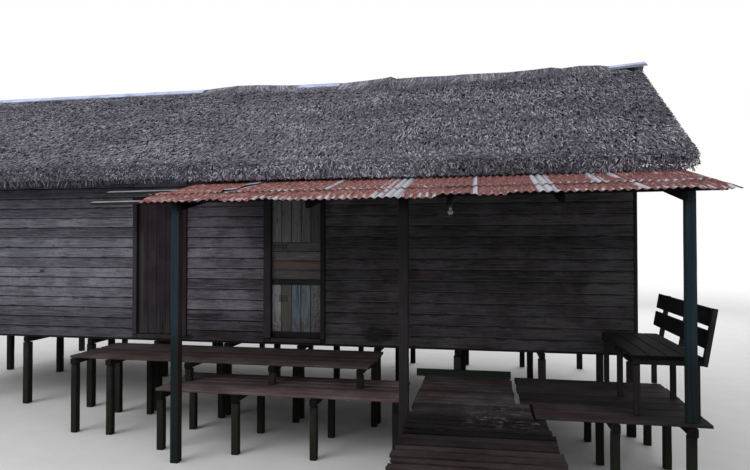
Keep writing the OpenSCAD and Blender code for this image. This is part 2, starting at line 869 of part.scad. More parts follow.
module plain_porch_post() {
    color("gray") porch_post(middle_post_x, 0);
}

module porch_ledger() {
    bottom = ledger_top(ledger_front_y) - ledger_h;
    color("dimgray")
    porch_tilted()
    along_x([porch_left - porch_mid, half_length - porch_mid])
    polygon([
        [ledger_front_y, bottom],
        [ledger_back_y, bottom],
        [ledger_back_y, ledger_top(ledger_back_y)],
        [ledger_front_y, ledger_top(ledger_front_y)]
    ]);
}

// The end rafters lie against the inner sides of the painted posts
module porch_rafters() {
    clear = post_size / 2 + porch_rafter_w / 2 + slack;
    wall_gap = 4;
    past_post = 120;
    first = left_post_x + clear;
    last = right_post_x - clear;
    run = (porch_depth - seat_gap) / cos(porch_pitch) + porch_rafter_bottom * tan(porch_pitch)
        - wall_gap;
    color("dimgray")
    porch_slope()
    for (at = [first, (first + lamp_x) / 2, lamp_x, (lamp_x + last) / 2, last]) {
        x = at - porch_mid;
        box([x - porch_rafter_w / 2, x + porch_rafter_w / 2], [post_slope - past_post, run],
            [porch_rafter_bottom, porch_rafter_top]);
    }
}

module porch_purlins() {
    right = porch_length / 2 - 60;
    left = -porch_length / 2;
    inset = 40;
    lap_slope = upper_course_start + end_lap / 2;
    color("tan")
    porch_slope()
        for (p = [[post_slope, front_purlin_poke], [middle_purlin_slope, middle_purlin_poke],
                [wall_purlin_slope, -inset], [lap_slope, -inset]])
            box([left - p[1], right], [p[0] - purlin_w / 2, p[0] + purlin_w / 2],
                [purlin_bottom, purlin_top]);
}

// Lift of a sheet that laps over another one
lap_gap = 0.4;
lap_lift = sheet_t + lap_gap;

// Height of the wave of the sheets at x, from its lowest line
function wave(x) = corrugation_depth / 2 * (1 + sin(360 * x / corrugation));

// One corrugated sheet, lifted so that it laps over its neighbour
module corrugated_sheet(x, run, lift) {
    points = round((x[1] - x[0]) / (corrugation / 8));
    step = (x[1] - x[0]) / points;
    along_y(run)
    polygon(concat(
        [for (i = [0 : points]) [x[0] + i * step, wave(x[0] + i * step) + lift]],
        [for (i = [points : -1 : 0]) [x[0] + i * step, wave(x[0] + i * step) + lift + sheet_t]]));
}

module sheet_course(run, lift) {
    cover = porch_length / sheet_count;
    for (i = [0 : sheet_count - 1]) {
        x0 = -porch_length / 2 + i * cover;
        x1 = i == sheet_count - 1 ? x0 + cover : x0 + cover + corrugation;
        corrugated_sheet([x0, x1], run, lift + (i % 2) * lap_lift);
    }
}

module porch_sheets_lower() {
    color("indianred") porch_slope() sheet_course([0, upper_course_start + end_lap], 0);
}

module porch_sheets_upper() {
    color("indianred")
    porch_slope() sheet_course([upper_course_start, sheet_run], 2 * lap_lift);
}

// Decks in front of the house
function spread(a, b, count) = [for (i = [0 : count - 1]) a + i * (b - a) / (count - 1)];
// Distances of the outer bearers and stilts from the edges of what they carry
edge_inset = 60;
right_bearer_inset = 75;
long_bearer_inset = 80;
bearer_past_deck = 75;
boardwalk_stilt_inset = 90;
right_stilt_inset = 80;
middle_stilt_inset = 150;
walkway_bearer_inset = 70;
left_deck_bearers = spread(left_deck_x[0] + edge_inset, left_deck_x[1] - edge_inset, 4);
right_deck_bearers = spread(right_deck_x[0] + deck_notch + right_bearer_inset, right_post_x, 3);
// These run from the far end of the boardwalk to the back of the middle deck
long_bearers = [boardwalk_x[0] + edge_inset, middle_deck_x[1] - long_bearer_inset];
long_bearer_y = [boardwalk_y[0], middle_deck_y[1] + bearer_past_deck];
// The stilts of the house that stand behind the walkway and behind the middle deck
stilt_columns = [for (i = [0 : stilt_bays]) -stilt_edge_x + i * stilt_pitch];
function between(x, low, high) = x > low && x < high;
walkway_columns = [for (x = stilt_columns)
    if (between(x, walkway_x[0] + 200, walkway_x[1] - edge_inset)) x];
middle_columns = [for (x = stilt_columns)
    if (between(x, middle_deck_x[0] + 150, middle_deck_x[1] - 180)) x];
walkway_bearers = concat([walkway_x[0] + walkway_bearer_inset], walkway_columns);

module deck_post(x, y) {
    square_post(x, y, deck_stilt, [0, deck_bearer_bottom]);
}

module stilt_pair(x, y, inset) {
    for (py = [y[0] + inset, y[1] - inset])
        deck_post(x, py);
}

module deck_stilts() {
    color("dimgray") {
        for (x = left_deck_bearers)
            stilt_pair(x, left_deck_y, edge_inset);
        for (x = middle_columns)
            deck_post(x, middle_deck_y[0] + boardwalk_stilt_inset);
        for (x = right_deck_bearers) {
            stilt_pair(x, right_deck_y, right_stilt_inset);
            deck_post(x, (right_deck_y[0] + right_deck_y[1]) / 2);
        }
        for (x = long_bearers) {
            stilt_pair(x, boardwalk_y, boardwalk_stilt_inset);
            stilt_pair(x, middle_deck_y, middle_stilt_inset);
            deck_post(x, (boardwalk_y[0] + boardwalk_y[1]) / 2);
        }
        for (x = walkway_bearers) {
            foot = x > left_deck_x[0] ? deck_top : 0;
            square_post(x, walkway_y[0] + edge_inset, deck_stilt, [foot, walkway_bearer_bottom]);
            square_post(x, walkway_y[1] - edge_inset, deck_stilt, [0, walkway_bearer_bottom]);
        }
    }
}

module bearer_row(xs, y, z) {
    for (x = xs)
        box([x - deck_bearer_w / 2, x + deck_bearer_w / 2], y, z);
}

module deck_bearers() {
    z = [deck_bearer_bottom, deck_board_bottom];
    color("dimgray") {
        bearer_row(left_deck_bearers, left_deck_y, z);
        bearer_row(middle_columns, [middle_deck_y[0], -frame_y], z);
        bearer_row(right_deck_bearers, right_deck_y, z);
        bearer_row(long_bearers, long_bearer_y, z);
        bearer_row(walkway_bearers, [walkway_y[0], -frame_y],
            [walkway_bearer_bottom, walkway_board_bottom]);
    }
}

module left_deck_boards() {
    color("rosybrown")
    boards_along_x(left_deck_x, left_deck_y, deck_top, deck_board_t, 6, deck_gap, ragged);
}

module middle_deck_boards() {
    color("rosybrown")
    boards_along_x(middle_deck_x, middle_deck_y, deck_top, deck_board_t, 8, deck_gap, ragged / 4);
}

// The boards that lie beside the boardwalk are shorter
module right_deck_boards() {
    count = 7;
    beside = 2;
    split = right_deck_y[0] + beside * (right_deck_y[1] - right_deck_y[0] + deck_gap) / count;
    color("gray") {
        boards_along_x([right_deck_x[0] + deck_notch, right_deck_x[1]],
            [right_deck_y[0], split - deck_gap], deck_top, deck_board_t, beside, deck_gap, ragged / 2);
        boards_along_x(right_deck_x, [split, right_deck_y[1]],
            deck_top, deck_board_t, count - beside, deck_gap, ragged / 2);
    }
}

module green_beam() {
    beam_t = 65;
    y0 = middle_deck_y[1] + 5;
    color("seagreen")
    box([middle_deck_x[0] - green_beam_past, middle_deck_x[1]], [y0, y0 + beam_t],
        [deck_board_bottom, deck_board_bottom + green_beam_h]);
}

// The boards beside the right deck stop short of it, those in front of it run on and get longer
module boardwalk_planks() {
    count = 14;
    width = (boardwalk_y[1] - boardwalk_y[0] - deck_gap * (count - 1)) / count;
    color("gray")
    for (i = [0 : count - 1]) {
        y0 = boardwalk_y[0] + i * (width + deck_gap);
        free = y0 + width < right_deck_y[0] - beside_gap;
        left = boardwalk_x[0] - ragged / 2 + ragged * (0.5 + 0.5 * sin(137 * i));
        flare = boardwalk_flare * i / (count - 1);
        right = free ? boardwalk_x[1] - flare - ragged * (0.5 + 0.5 * sin(101 * i))
            : right_deck_x[0] + deck_notch - beside_gap;
        box([left, right], [y0, y0 + width], [deck_board_bottom, deck_top]);
    }
}

module walkway_planks() {
    color("rosybrown")
    boards_along_x(walkway_x, walkway_y, walkway_top, deck_board_t, 5, deck_gap, ragged);
}

// Bench that stands along the right edge of the right deck
module bench_back_frame() {
    translate([seat_right + seat_gap, 0, rail_bottom]) rotate([0, back_lean, 0]) children();
}

module bench_posts() {
    post_t = 45;
    color("gray") {
        for (x = [seat_left + bench_leg_inset, seat_right - bench_leg_inset], y = bench_leg_y)
            square_post(x, y, bench_leg, [deck_top, rail_bottom]);
        bench_back_frame()
        for (y = bench_leg_y)
            box([0, post_t], [y - bench_rail_y, y + bench_rail_y],
                [0, bench_rail_h + seat_board_t + back_height]);
    }
}

module bench_rails() {
    color("gray")
    for (y = bench_leg_y)
        box([seat_left, seat_right], [y - bench_rail_y, y + bench_rail_y],
            [rail_bottom, rail_bottom + bench_rail_h]);
}

module bench_seat() {
    count = 4;
    width = (seat_width - deck_gap * (count - 1)) / count;
    color("silver")
    for (i = [0 : count - 1]) {
        x0 = seat_left + i * (width + deck_gap);
        box([x0, x0 + width], [seat_front_y, seat_back_y], [seat_top - seat_board_t, seat_top]);
    }
}

module bench_back() {
    board_h = 170;
    board_t = 22;
    board_gap = 35;
    y = [seat_front_y + 20, seat_back_y + 180];
    top = bench_rail_h + seat_board_t + back_height;
    color("darkslategray")
    bench_back_frame()
    for (z = [top - board_h, top - 2 * board_h - board_gap])
        box([-board_t - seat_gap, -seat_gap], y, [z, z + board_h]);
}

// Lamp under a porch rafter
rose_h = 14;
lamp_distance = 1500;

module porch_lamp_frame() {
    slope_s = (porch_depth - lamp_distance) / cos(porch_pitch);
    porch_slope()
    translate([lamp_x - porch_mid, slope_s, porch_rafter_bottom - seat_gap])
    children();
}

module lamp_holder() {
    rose_r = 24;
    holder_r = 18;
    color("black")
    porch_lamp_frame() {
        translate([0, 0, -rose_h]) cylinder(r = rose_r, h = rose_h);
        translate([0, 0, -rose_h - holder_h]) cylinder(r = holder_r, h = holder_h);
    }
}

module lamp_bulb() {
    neck_h = 24;
    neck_share = 0.45;
    sunk_share = 0.8;
    color("ivory")
    porch_lamp_frame()
    translate([0, 0, -rose_h - holder_h - neck_h]) {
        cylinder(r = bulb_r * neck_share, h = neck_h);
        translate([0, 0, -bulb_r * sunk_share]) sphere(r = bulb_r);
    }
}

house_stilts();
cross_bearers();
floor_joists();
floor();
wall_studs();
wall_plates();
ridge_frame();
rafters();
roof_battens();
front_thatch();
back_thatch();
ridge_sheets();
front_wall_left();
front_wall_middle();
front_wall_right();
front_wall_heads();
back_wall();
left_gable_wall();
right_gable_wall();
corner_boards();
left_door_frame();
right_door_frame();
hinge_hooks();
left_door_boards();
left_door_ledges();
left_door_straps();
right_door_boards();
right_door_rails();
right_door_straps();
painted_porch_posts();
plain_porch_post();
porch_ledger();
porch_rafters();
porch_purlins();
porch_sheets_lower();
porch_sheets_upper();
deck_stilts();
deck_bearers();
left_deck_boards();
middle_deck_boards();
right_deck_boards();
green_beam();
boardwalk_planks();
walkway_planks();
bench_posts();
bench_rails();
bench_seat();
bench_back();
lamp_holder();
lamp_bulb();
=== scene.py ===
"""Looks of a timber stilt house with a thatched roof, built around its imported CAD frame."""

import math
from collections import namedtuple

import bpy
import numpy as np
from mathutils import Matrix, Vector


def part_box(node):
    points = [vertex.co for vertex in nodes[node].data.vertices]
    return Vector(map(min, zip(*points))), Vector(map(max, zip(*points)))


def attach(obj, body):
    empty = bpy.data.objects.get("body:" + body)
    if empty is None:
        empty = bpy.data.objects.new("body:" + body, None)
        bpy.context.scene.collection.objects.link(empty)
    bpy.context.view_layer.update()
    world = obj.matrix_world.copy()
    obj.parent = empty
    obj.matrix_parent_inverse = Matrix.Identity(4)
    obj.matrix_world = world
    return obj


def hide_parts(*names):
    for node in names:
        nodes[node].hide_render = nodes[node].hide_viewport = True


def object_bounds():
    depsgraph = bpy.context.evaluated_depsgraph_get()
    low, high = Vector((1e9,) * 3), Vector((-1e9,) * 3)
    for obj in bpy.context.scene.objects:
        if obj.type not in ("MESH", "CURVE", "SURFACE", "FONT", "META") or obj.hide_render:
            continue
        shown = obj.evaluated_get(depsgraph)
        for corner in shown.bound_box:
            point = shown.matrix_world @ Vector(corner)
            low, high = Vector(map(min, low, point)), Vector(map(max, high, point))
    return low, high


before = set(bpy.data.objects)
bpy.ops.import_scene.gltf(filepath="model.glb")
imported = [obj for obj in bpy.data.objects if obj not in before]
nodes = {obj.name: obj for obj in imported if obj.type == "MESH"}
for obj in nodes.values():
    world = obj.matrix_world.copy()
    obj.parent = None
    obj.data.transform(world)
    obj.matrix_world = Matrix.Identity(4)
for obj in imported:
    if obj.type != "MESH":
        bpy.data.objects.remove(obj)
cad_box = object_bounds()

# Levels and sizes of the house, in metres, as in the part's source
HALF_LENGTH = 5.15
HALF_DEPTH = 2.0
WALL_BASE = 0.985
WALL_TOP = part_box("back_wall")[1].z
BOARD_SHOWS = 0.138
RIDGE_Z = 4.912
PITCH = math.radians(34)
THATCH_T = 0.120
COURSES = 20
COURSE_STEP = 0.016
CAP_T = 0.030
CAP_WING = 0.300
VERGE_X = 5.690
EAVE_Y = 2.475
PORCH_RIGHT = 5.56
PORCH_LEFT = -0.205
PORCH_FRONT = 3.85
PORCH_FRONT_Z = 2.7111
PORCH_PITCH = math.radians(12.5)
PORCH_RISE = 0.055
CORRUGATION = 0.076
CORRUGATION_DEPTH = 0.018
LOWER_COURSE = (0.0, 0.720)
UPPER_COURSE = (0.560, 1.8826)
# Slope of the lower sheets where the upper ones' edges cast a painted shadow
SHADE_FROM = 0.480
SHADE_FULL = 0.515
SHADE_TO = 0.560

X_AXIS = np.array([1.0, 0.0, 0.0])
Y_AXIS = np.array([0.0, 1.0, 0.0])
Z_AXIS = np.array([0.0, 0.0, 1.0])


# Shader helpers
class Nodes:
    """A tree of shader nodes, with short names for the ones that the trees share."""

    def __init__(self, tree):
        self.tree = tree
        self.tree.nodes.clear()

    def fill(self, inputs, values):
        """Links sockets, and writes plain values on the inputs themselves."""
        for key, value in values.items():
            if isinstance(value, bpy.types.NodeSocket):
                self.tree.links.new(value, inputs[key])
            else:
                inputs[key].default_value = value

    def node(self, kind, values=None):
        """A new node with its inputs filled."""
        made = self.tree.nodes.new(kind)
        self.fill(made.inputs, values or {})
        return made

    def rest(self):
        """The point's place in the row frame, which moves with its body."""
        return self.node("ShaderNodeTexCoord").outputs["Object"]

    def split(self, vector):
        return self.node("ShaderNodeSeparateXYZ", {"Vector": vector}).outputs

    def math(self, kind, first, second=0.0):
        made = self.node("ShaderNodeMath", {0: first, 1: second})
        made.operation = kind
        return made.outputs[0]

    def product(self, first, second):
        return self.math("MULTIPLY", first, second)

    def total(self, first, second):
        return self.math("ADD", first, second)

    def less(self, first, second):
        return self.math("SUBTRACT", first, second)

    def blend(self, factor, first, second):
        """A mix of two shaders."""
        return self.node("ShaderNodeMixShader", {0: factor, 1: first, 2: second}).outputs[0]

    def seen_rays(self):
        """1 for rays that show the stage itself, 0 for those that carry its light."""
        rays = self.node("ShaderNodeLightPath").outputs
        seen = self.math("MAXIMUM", rays["Is Camera Ray"], rays["Is Glossy Ray"])
        return self.math("MAXIMUM", seen, rays["Is Transmission Ray"])


class Shade(Nodes):
    """One material."""

    def __init__(self, name):
        self.material = bpy.data.materials.new(name)
        self.material.use_nodes = True
        super().__init__(self.material.node_tree)
        self.shader = self.node("ShaderNodeBsdfPrincipled")
        self.output = self.node("ShaderNodeOutputMaterial", {"Surface": self.shader.outputs["BSDF"]})

    def attribute(self, name, output="Vector"):
        made = self.node("ShaderNodeAttribute")
        made.attribute_name = name
        return made.outputs[output]

    def normal(self):
        """How far the surface faces east, north and up."""
        return self.split(self.node("ShaderNodeNewGeometry").outputs["Normal"])

    def stretch(self, vector, scale):
        return self.node("ShaderNodeMapping", {"Vector": vector, "Scale": scale}).outputs["Vector"]

    def noise(self, vector, scale, detail=4.0, rough=0.55, twist=0.0):
        """A noise of 0 to 1; a tuple as its scale makes it finer along some axes."""
        if isinstance(scale, tuple):
            vector = self.stretch(vector, scale)
            scale = 1.0
        made = self.node("ShaderNodeTexNoise", {
            "Vector": vector, "Scale": scale, "Detail": detail, "Roughness": rough, "Distortion": twist,
        })
        return made.outputs["Fac"]

    def ramp(self, value, stops):
        """A colour ramp; stops are (place, colour) with linear colours or plain greys."""
        made = self.node("ShaderNodeValToRGB", {"Fac": value})
        elements = made.color_ramp.elements
        while len(elements) < len(stops):
            elements.new(0.5)
        for element, (place, colour) in zip(elements, stops):
            element.position = place
            element.color = (*colour, 1.0) if isinstance(colour, tuple) else (colour, colour, colour, 1.0)
        return made.outputs["Color"]

    def mix(self, factor, first, second, kind="MIX"):
        """A mix of sockets, linear colours or plain greys."""
        values = {"Factor": factor}
        for key, value in ((6, first), (7, second)):
            value = (value,) * 3 if isinstance(value, float) else value
            values[key] = (*value, 1.0) if isinstance(value, tuple) else value
        made = self.node("ShaderNodeMix")
        made.data_type = "RGBA"
        made.blend_type = kind
        self.fill(made.inputs, values)
        return made.outputs[2]

    def tint(self, base, colour):
        """The base times a colour or a grey."""
        return self.mix(1.0, base, colour, "MULTIPLY")

    def lay(self, base, colour, where, strength=1.0):
        """A colour over the base, where a mask says."""
        return self.mix(where if strength == 1.0 else self.product(where, strength), base, colour)

    def uneven(self, noise, reach):
        """A noise as an offset to both sides of 0."""
        return self.product(self.less(noise, 0.5), reach)

    def fade(self, value, low, high):
        """0 below low, 1 above high, smooth between."""
        made = self.node("ShaderNodeMapRange", {"Value": value, "From Min": low, "From Max": high})
        made.interpolation_type = "SMOOTHSTEP"
        return made.outputs["Result"]

    def squared(self, value, middle, half):
        return self.math("POWER", self.math("DIVIDE", self.less(value, middle), half), 2.0)

    def bump(self, height, distance, strength):
        made = self.node("ShaderNodeBump", {"Height": height, "Distance": distance, "Strength": strength})
        self.fill(self.shader.inputs, {"Normal": made.outputs["Normal"]})

    def finish(self, colour, roughness, metallic=0.0, specular=0.5):
        self.fill(self.shader.inputs, {
            "Base Color": colour, "Roughness": roughness,
            "Metallic": metallic, "Specular IOR Level": specular,
        })
        return self.material


def times(colour, factor):
    return tuple(c * factor for c in colour)


# Timber: grain along each board, streaks, checks, mildew, worn rims and old paint
Paint = namedtuple("Paint", "colour cover front_only")
ALONG = (1.0, 22.0, 22.0)
TIMBER_SHINE = 0.12
WET = (0.016, 0.019, 0.013)


def timber(name, colour, warm=None, paint=None, mildew=0.0, wet=False, rim=0.5, along_x=False,
           contrast=1.0, lapped=0.0, levels=None, spots=(), places=None):
    """Weathered timber. Boards carry their own grain values; CAD nodes have their grain along x.

    lapped is the strength of the painted shade line under each lap, levels are factors by height,
    some of them painted shade under the roofs, spots are stains as (x, z, half width, half height,
    colour), and places is a function of the shader, the point's place and the base colour, for
    changes along the piece.
    """
    s = Shade(name)
    place = s.rest()
    spot = s.split(place)
    along = s.stretch(place if along_x else s.attribute("grain"), ALONG)
    fibres = s.noise(along, 3.4, detail=7.0, rough=0.68, twist=0.6)
    streaks = s.noise(along, 0.9, detail=3.0, twist=1.2)
    patches = s.noise(place, 2.6, detail=4.0, rough=0.6)
    warm = warm or times(colour, 0.9)
    dark = times(colour, 1.0 - 0.55 * contrast)
    light = times(colour, 1.0 + 0.50 * contrast)
    base = s.ramp(fibres, [(0.28, dark), (0.50, colour), (0.76, light)])
    base = s.lay(base, s.ramp(fibres, [(0.3, times(warm, 0.55)), (0.7, warm)]), s.fade(streaks, 0.42, 0.70))
    if contrast > 0.6:
        base = s.lay(base, times(light, 0.96), s.fade(patches, 0.38, 0.66))
    if not along_x:
        board = s.split(s.attribute("board"))
        base = s.tint(base, s.ramp(board[0], [(0.0, 0.50), (0.5, 1.0), (1.0, 1.46)]))
        worn = s.product(s.fade(s.math("ABSOLUTE", board[1]), 0.86, 1.0), rim)
        base = s.lay(base, times(light, 1.15), worn)
        base = s.lay(base, times(dark, 0.5), s.fade(board[2], 0.012, 0.0))
    for x, z, half_x, half_z, stain in spots:
        away = s.total(s.squared(spot[0], x, half_x), s.squared(spot[2], z, half_z))
        base = s.lay(base, stain, s.fade(s.total(away, s.uneven(patches, 2.4)), 1.25, 0.45), 0.85)
    if places:
        base = places(s, spot, base)
    if paint:
        base = old_paint(s, spot, base, along, streaks, patches, paint)
    if mildew:
        moulds = s.noise(place, 17.0, detail=5.0, rough=0.7)
        where = s.product(s.fade(moulds, 0.54, 0.68), s.fade(patches, 0.36, 0.6))
        base = s.lay(base, times(colour, 0.38), where, mildew)
    if wet:
        base = s.lay(base, WET, s.fade(s.total(spot[2], s.product(patches, 0.25)), 0.62, 0.30))
    checks = s.noise(s.stretch(along, (0.5, 2.2, 2.2)), 4.0, detail=2.0, twist=0.3)
    checked = s.fade(checks, 0.35, 0.30)
    base = s.lay(base, times(colour, 0.22), checked, 0.75)
    # lapped boards: wear, mould, a painted shade line under each lap and a painted highlight on each lower
    # edge
    if lapped:
        base = lapped_face(s, base, colour, light, streaks, lapped)
    # factors by height, partly painted shade under the roofs
    if levels:
        low, span = levels[0][0], levels[-1][0] - levels[0][0]
        high = s.math("DIVIDE", s.less(spot[2], low), span)
        base = s.tint(base, s.ramp(high, [((z - low) / span, factor) for z, factor in levels]))
    s.bump(s.less(fibres, s.product(checked, 0.8)), 0.004, 0.55)
    return s.finish(base, s.ramp(fibres, [(0.3, 0.95), (0.8, 0.80)]), specular=TIMBER_SHINE)


def old_paint(s, spot, base, along, streaks, patches, paint):
    """Chipped paint; on the posts it has stayed on the front, and all round at the right end."""
    chips = s.noise(s.stretch(along, (3.0, 0.12, 0.12)), 9.0, detail=6.0, rough=0.7)
    where = s.fade(s.total(chips, s.product(patches, 0.4)), 0.98 - paint.cover, 1.04 - paint.cover)
    coat = s.ramp(streaks, [(0.3, times(paint.colour, 0.7)), (0.7, times(paint.colour, 1.2))])
    if paint.front_only:
        sides = s.math("MAXIMUM", s.fade(s.normal()[0], 0.6, 0.2), s.fade(spot[0], 3.0, 3.5))
        where = s.product(where, sides)
    return s.lay(base, coat, where)


def lapped_face(s, base, colour, light, streaks, strength):
    """Dashes of wear on lapped boards, mould that rises to the lap, a painted shade line under each lap, and
    a painted highlight along each board's lower edge.
    """
    grain = s.attribute("grain")
    dashes = s.noise(s.stretch(grain, (1.3, 42.0, 42.0)), 2.4, detail=5.0, rough=0.75)
    base = s.lay(base, times(colour, 0.30), s.fade(dashes, 0.53, 0.62), 0.75)
    base = s.lay(base, times(light, 1.40), s.fade(dashes, 0.46, 0.36), 0.60)
    up = s.total(s.split(s.attribute("lap"))[0], s.product(streaks, 0.008))
    moulds = s.noise(grain, (5.0, 16.0, 16.0), detail=5.0, rough=0.7)
    rising = s.total(moulds, s.product(s.less(up, BOARD_SHOWS), 5.0))
    base = s.lay(base, times(colour, 0.30), s.fade(rising, 0.38, 0.50), 0.62)
    # painted shade: a dark line just under the next board's lap
    base = s.lay(base, times(colour, 0.10), s.fade(up, 0.120, 0.137), 0.85 * strength)
    # painted highlight: each board's lower edge made paler
    return s.lay(base, times(light, 1.2), s.fade(up, 0.020, 0.006), 0.45)


def worn_foot(s, spot, base):
    """Pale upright streaks low on the left door, and its greyer first board."""
    strips = s.noise(s.rest(), (60.0, 60.0, 1.2), detail=3.0)
    low = s.product(s.fade(spot[2], 1.55, 1.10), s.fade(strips, 0.45, 0.62))
    first = s.product(s.fade(spot[0], -1.20, -1.22), s.fade(spot[2], 2.65, 2.2))
    where = s.math("MAXIMUM", s.product(low, 0.7), s.product(first, 0.75))
    return s.lay(base, (0.052, 0.048, 0.052), where)


def old_walk(s, spot, base):
    """The boardwalk's planks: paler and flaked at the far end, reddish at the near one."""
    flakes = s.noise(s.rest(), (9.0, 22.0, 9.0), detail=5.0, rough=0.75)
    base = s.lay(base, s.tint(base, 5.2), s.fade(spot[1], -3.95, -3.55))
    base = s.lay(base, s.tint(base, (2.9, 2.5, 2.4)), s.fade(spot[1], -4.35, -4.70))
    middle = s.fade(s.squared(spot[0], 3.55, 0.40), 1.2, 0.3)
    flaked = s.product(s.product(middle, s.fade(spot[1], -4.30, -3.90)), s.fade(flakes, 0.53, 0.60))
    return s.lay(base, (0.090, 0.084, 0.088), flaked)


def pale_front(s, spot, base):
    """The right deck's front planks are paler and redder at their left."""
    front = s.product(s.fade(spot[1], -3.18, -3.28), s.fade(spot[0], 5.00, 4.50))
    return s.lay(base, s.tint(base, (2.3, 2.0, 2.1)), front)


def purlin_light_and_shade(s, spot, base):
    """Purlins in painted light and shade: pale only on top where they poke out past the porch's left end,
    painted shade on their other faces and darker painted shade all along under the porch roof.
    """
    # painted shade on every face that does not look up
    base = s.lay(base, (0.030, 0.028, 0.030), s.fade(s.normal()[2], 0.5, 0.0))
    # painted shade all along under the porch roof, but for the ends that poke out
    return s.lay(base, (0.012, 0.011, 0.011), s.fade(spot[0], -0.26, -0.12))


# Stains on the right door's boards, as x, z and half sizes
DOOR_STAINS = [(0.795, 1.556, 0.068, 0.045), (0.750, 2.240, 0.105, 0.032)]


def patchwork(name):
    """Reused boards, each in its own worn paint, from the boards' paint values."""
    s = Shade(name)
    spot = s.split(s.rest())
    grain = s.attribute("grain")
    fibres = s.noise(s.stretch(grain, ALONG), 3.4, detail=7.0, rough=0.68, twist=0.5)
    blots = s.noise(grain, (9.0, 26.0, 26.0), detail=5.0, rough=0.7)
    scratches = s.noise(grain, (2.5, 60.0, 60.0), detail=5.0, rough=0.75)
    specks = s.noise(s.rest(), 55.0, detail=3.0)
    coat = s.tint(s.attribute("paint", "Color"), s.ramp(fibres, [(0.25, 0.52), (0.75, 1.45)]))
    coat = s.lay(coat, s.tint(coat, 2.2), s.fade(scratches, 0.56, 0.64), 0.55)
    coat = s.lay(coat, (0.030, 0.026, 0.027), s.fade(scratches, 0.44, 0.36), 0.65)
    foot = s.product(s.fade(spot[2], 1.46, 1.14), s.fade(blots, 0.40, 0.56))
    coat = s.lay(coat, s.mix(s.fade(blots, 0.40, 0.62), (0.045, 0.030, 0.034), (0.095, 0.062, 0.080)), foot)
    for x, z, half_x, half_z in DOOR_STAINS:
        away = s.math("MAXIMUM", s.squared(spot[0], x, half_x), s.squared(spot[2], z, half_z))
        coat = s.lay(coat, (0.022, 0.020, 0.024), s.fade(s.total(away, s.uneven(blots, 1.6)), 1.2, 0.7), 0.7)
    right = s.product(s.fade(spot[0], 1.185, 1.20), s.fade(spot[2], 1.72, 1.68))
    coat = s.lay(coat, (0.020, 0.020, 0.024), s.product(right, s.fade(specks, 0.54, 0.60)))
    wood = s.ramp(fibres, [(0.3, (0.024, 0.021, 0.021)), (0.7, (0.070, 0.064, 0.063))])
    base = s.lay(coat, wood, s.fade(blots, 0.58, 0.66))
    rims = s.math("ABSOLUTE", s.split(s.attribute("board"))[1])
    base = s.lay(base, (0.010, 0.009, 0.010), s.fade(rims, 0.88, 0.98))
    s.bump(fibres, 0.003, 0.5)
    return s.finish(base, s.ramp(fibres, [(0.3, 0.9), (0.8, 0.62)]))


# Grey that calmer thatch tends to
EVEN_THATCH = (0.176, 0.172, 0.210)


def thatch_leaves(name, dark, middle, light, calm=(0.0, 0.0)):
    """Each leaf has its own grey; a few are bleached. calm evens them out, at the right and left end."""
    s = Shade(name)
    each = s.node("ShaderNodeNewGeometry").outputs["Random Per Island"]
    east = s.split(s.rest())[0]
    broad = s.noise(s.stretch(s.rest(), (0.6, 1.4, 1.4)), 1.3, detail=3.0)
    fine = s.noise(s.rest(), 60.0, detail=3.0)
    value = s.total(each, s.uneven(broad, 0.55))
    base = s.ramp(value, [(0.0, dark), (0.58, middle), (0.86, times(light, 0.55)), (1.0, times(light, 0.9))])
    base = s.tint(base, s.ramp(fine, [(0.3, 0.7), (0.7, 1.2)]))
    evened = s.total(s.product(s.fade(east, 4.2, -2.0), calm[1] - calm[0]), calm[0])
    base = s.lay(base, EVEN_THATCH, evened)
    base = s.tint(base, s.ramp(broad, [(0.35, 0.84), (0.65, 1.16)]))
    base = s.lay(base, s.tint(base, 1.28), s.fade(east, 3.4, 1.6))
    s.bump(fine, 0.004, 0.4)
    return s.finish(base, s.ramp(fine, [(0.3, 0.95), (0.7, 0.8)]), specular=0.3)


def thatch_body(name):
    s = Shade(name)
    fibres = s.noise(s.stretch(s.rest(), (60.0, 6.0, 6.0)), 1.6, detail=6.0, rough=0.7)
    broad = s.noise(s.rest(), 2.0, detail=4.0)
    greys = [(0.3, (0.022, 0.021, 0.027)), (0.6, (0.066, 0.064, 0.080)), (0.8, (0.17, 0.17, 0.19))]
    base = s.tint(s.ramp(fibres, greys), s.ramp(broad, [(0.3, 0.75), (0.7, 1.2)]))
    s.bump(fibres, 0.012, 0.7)
    return s.finish(base, s.ramp(fibres, [(0.3, 0.97), (0.8, 0.85)]))


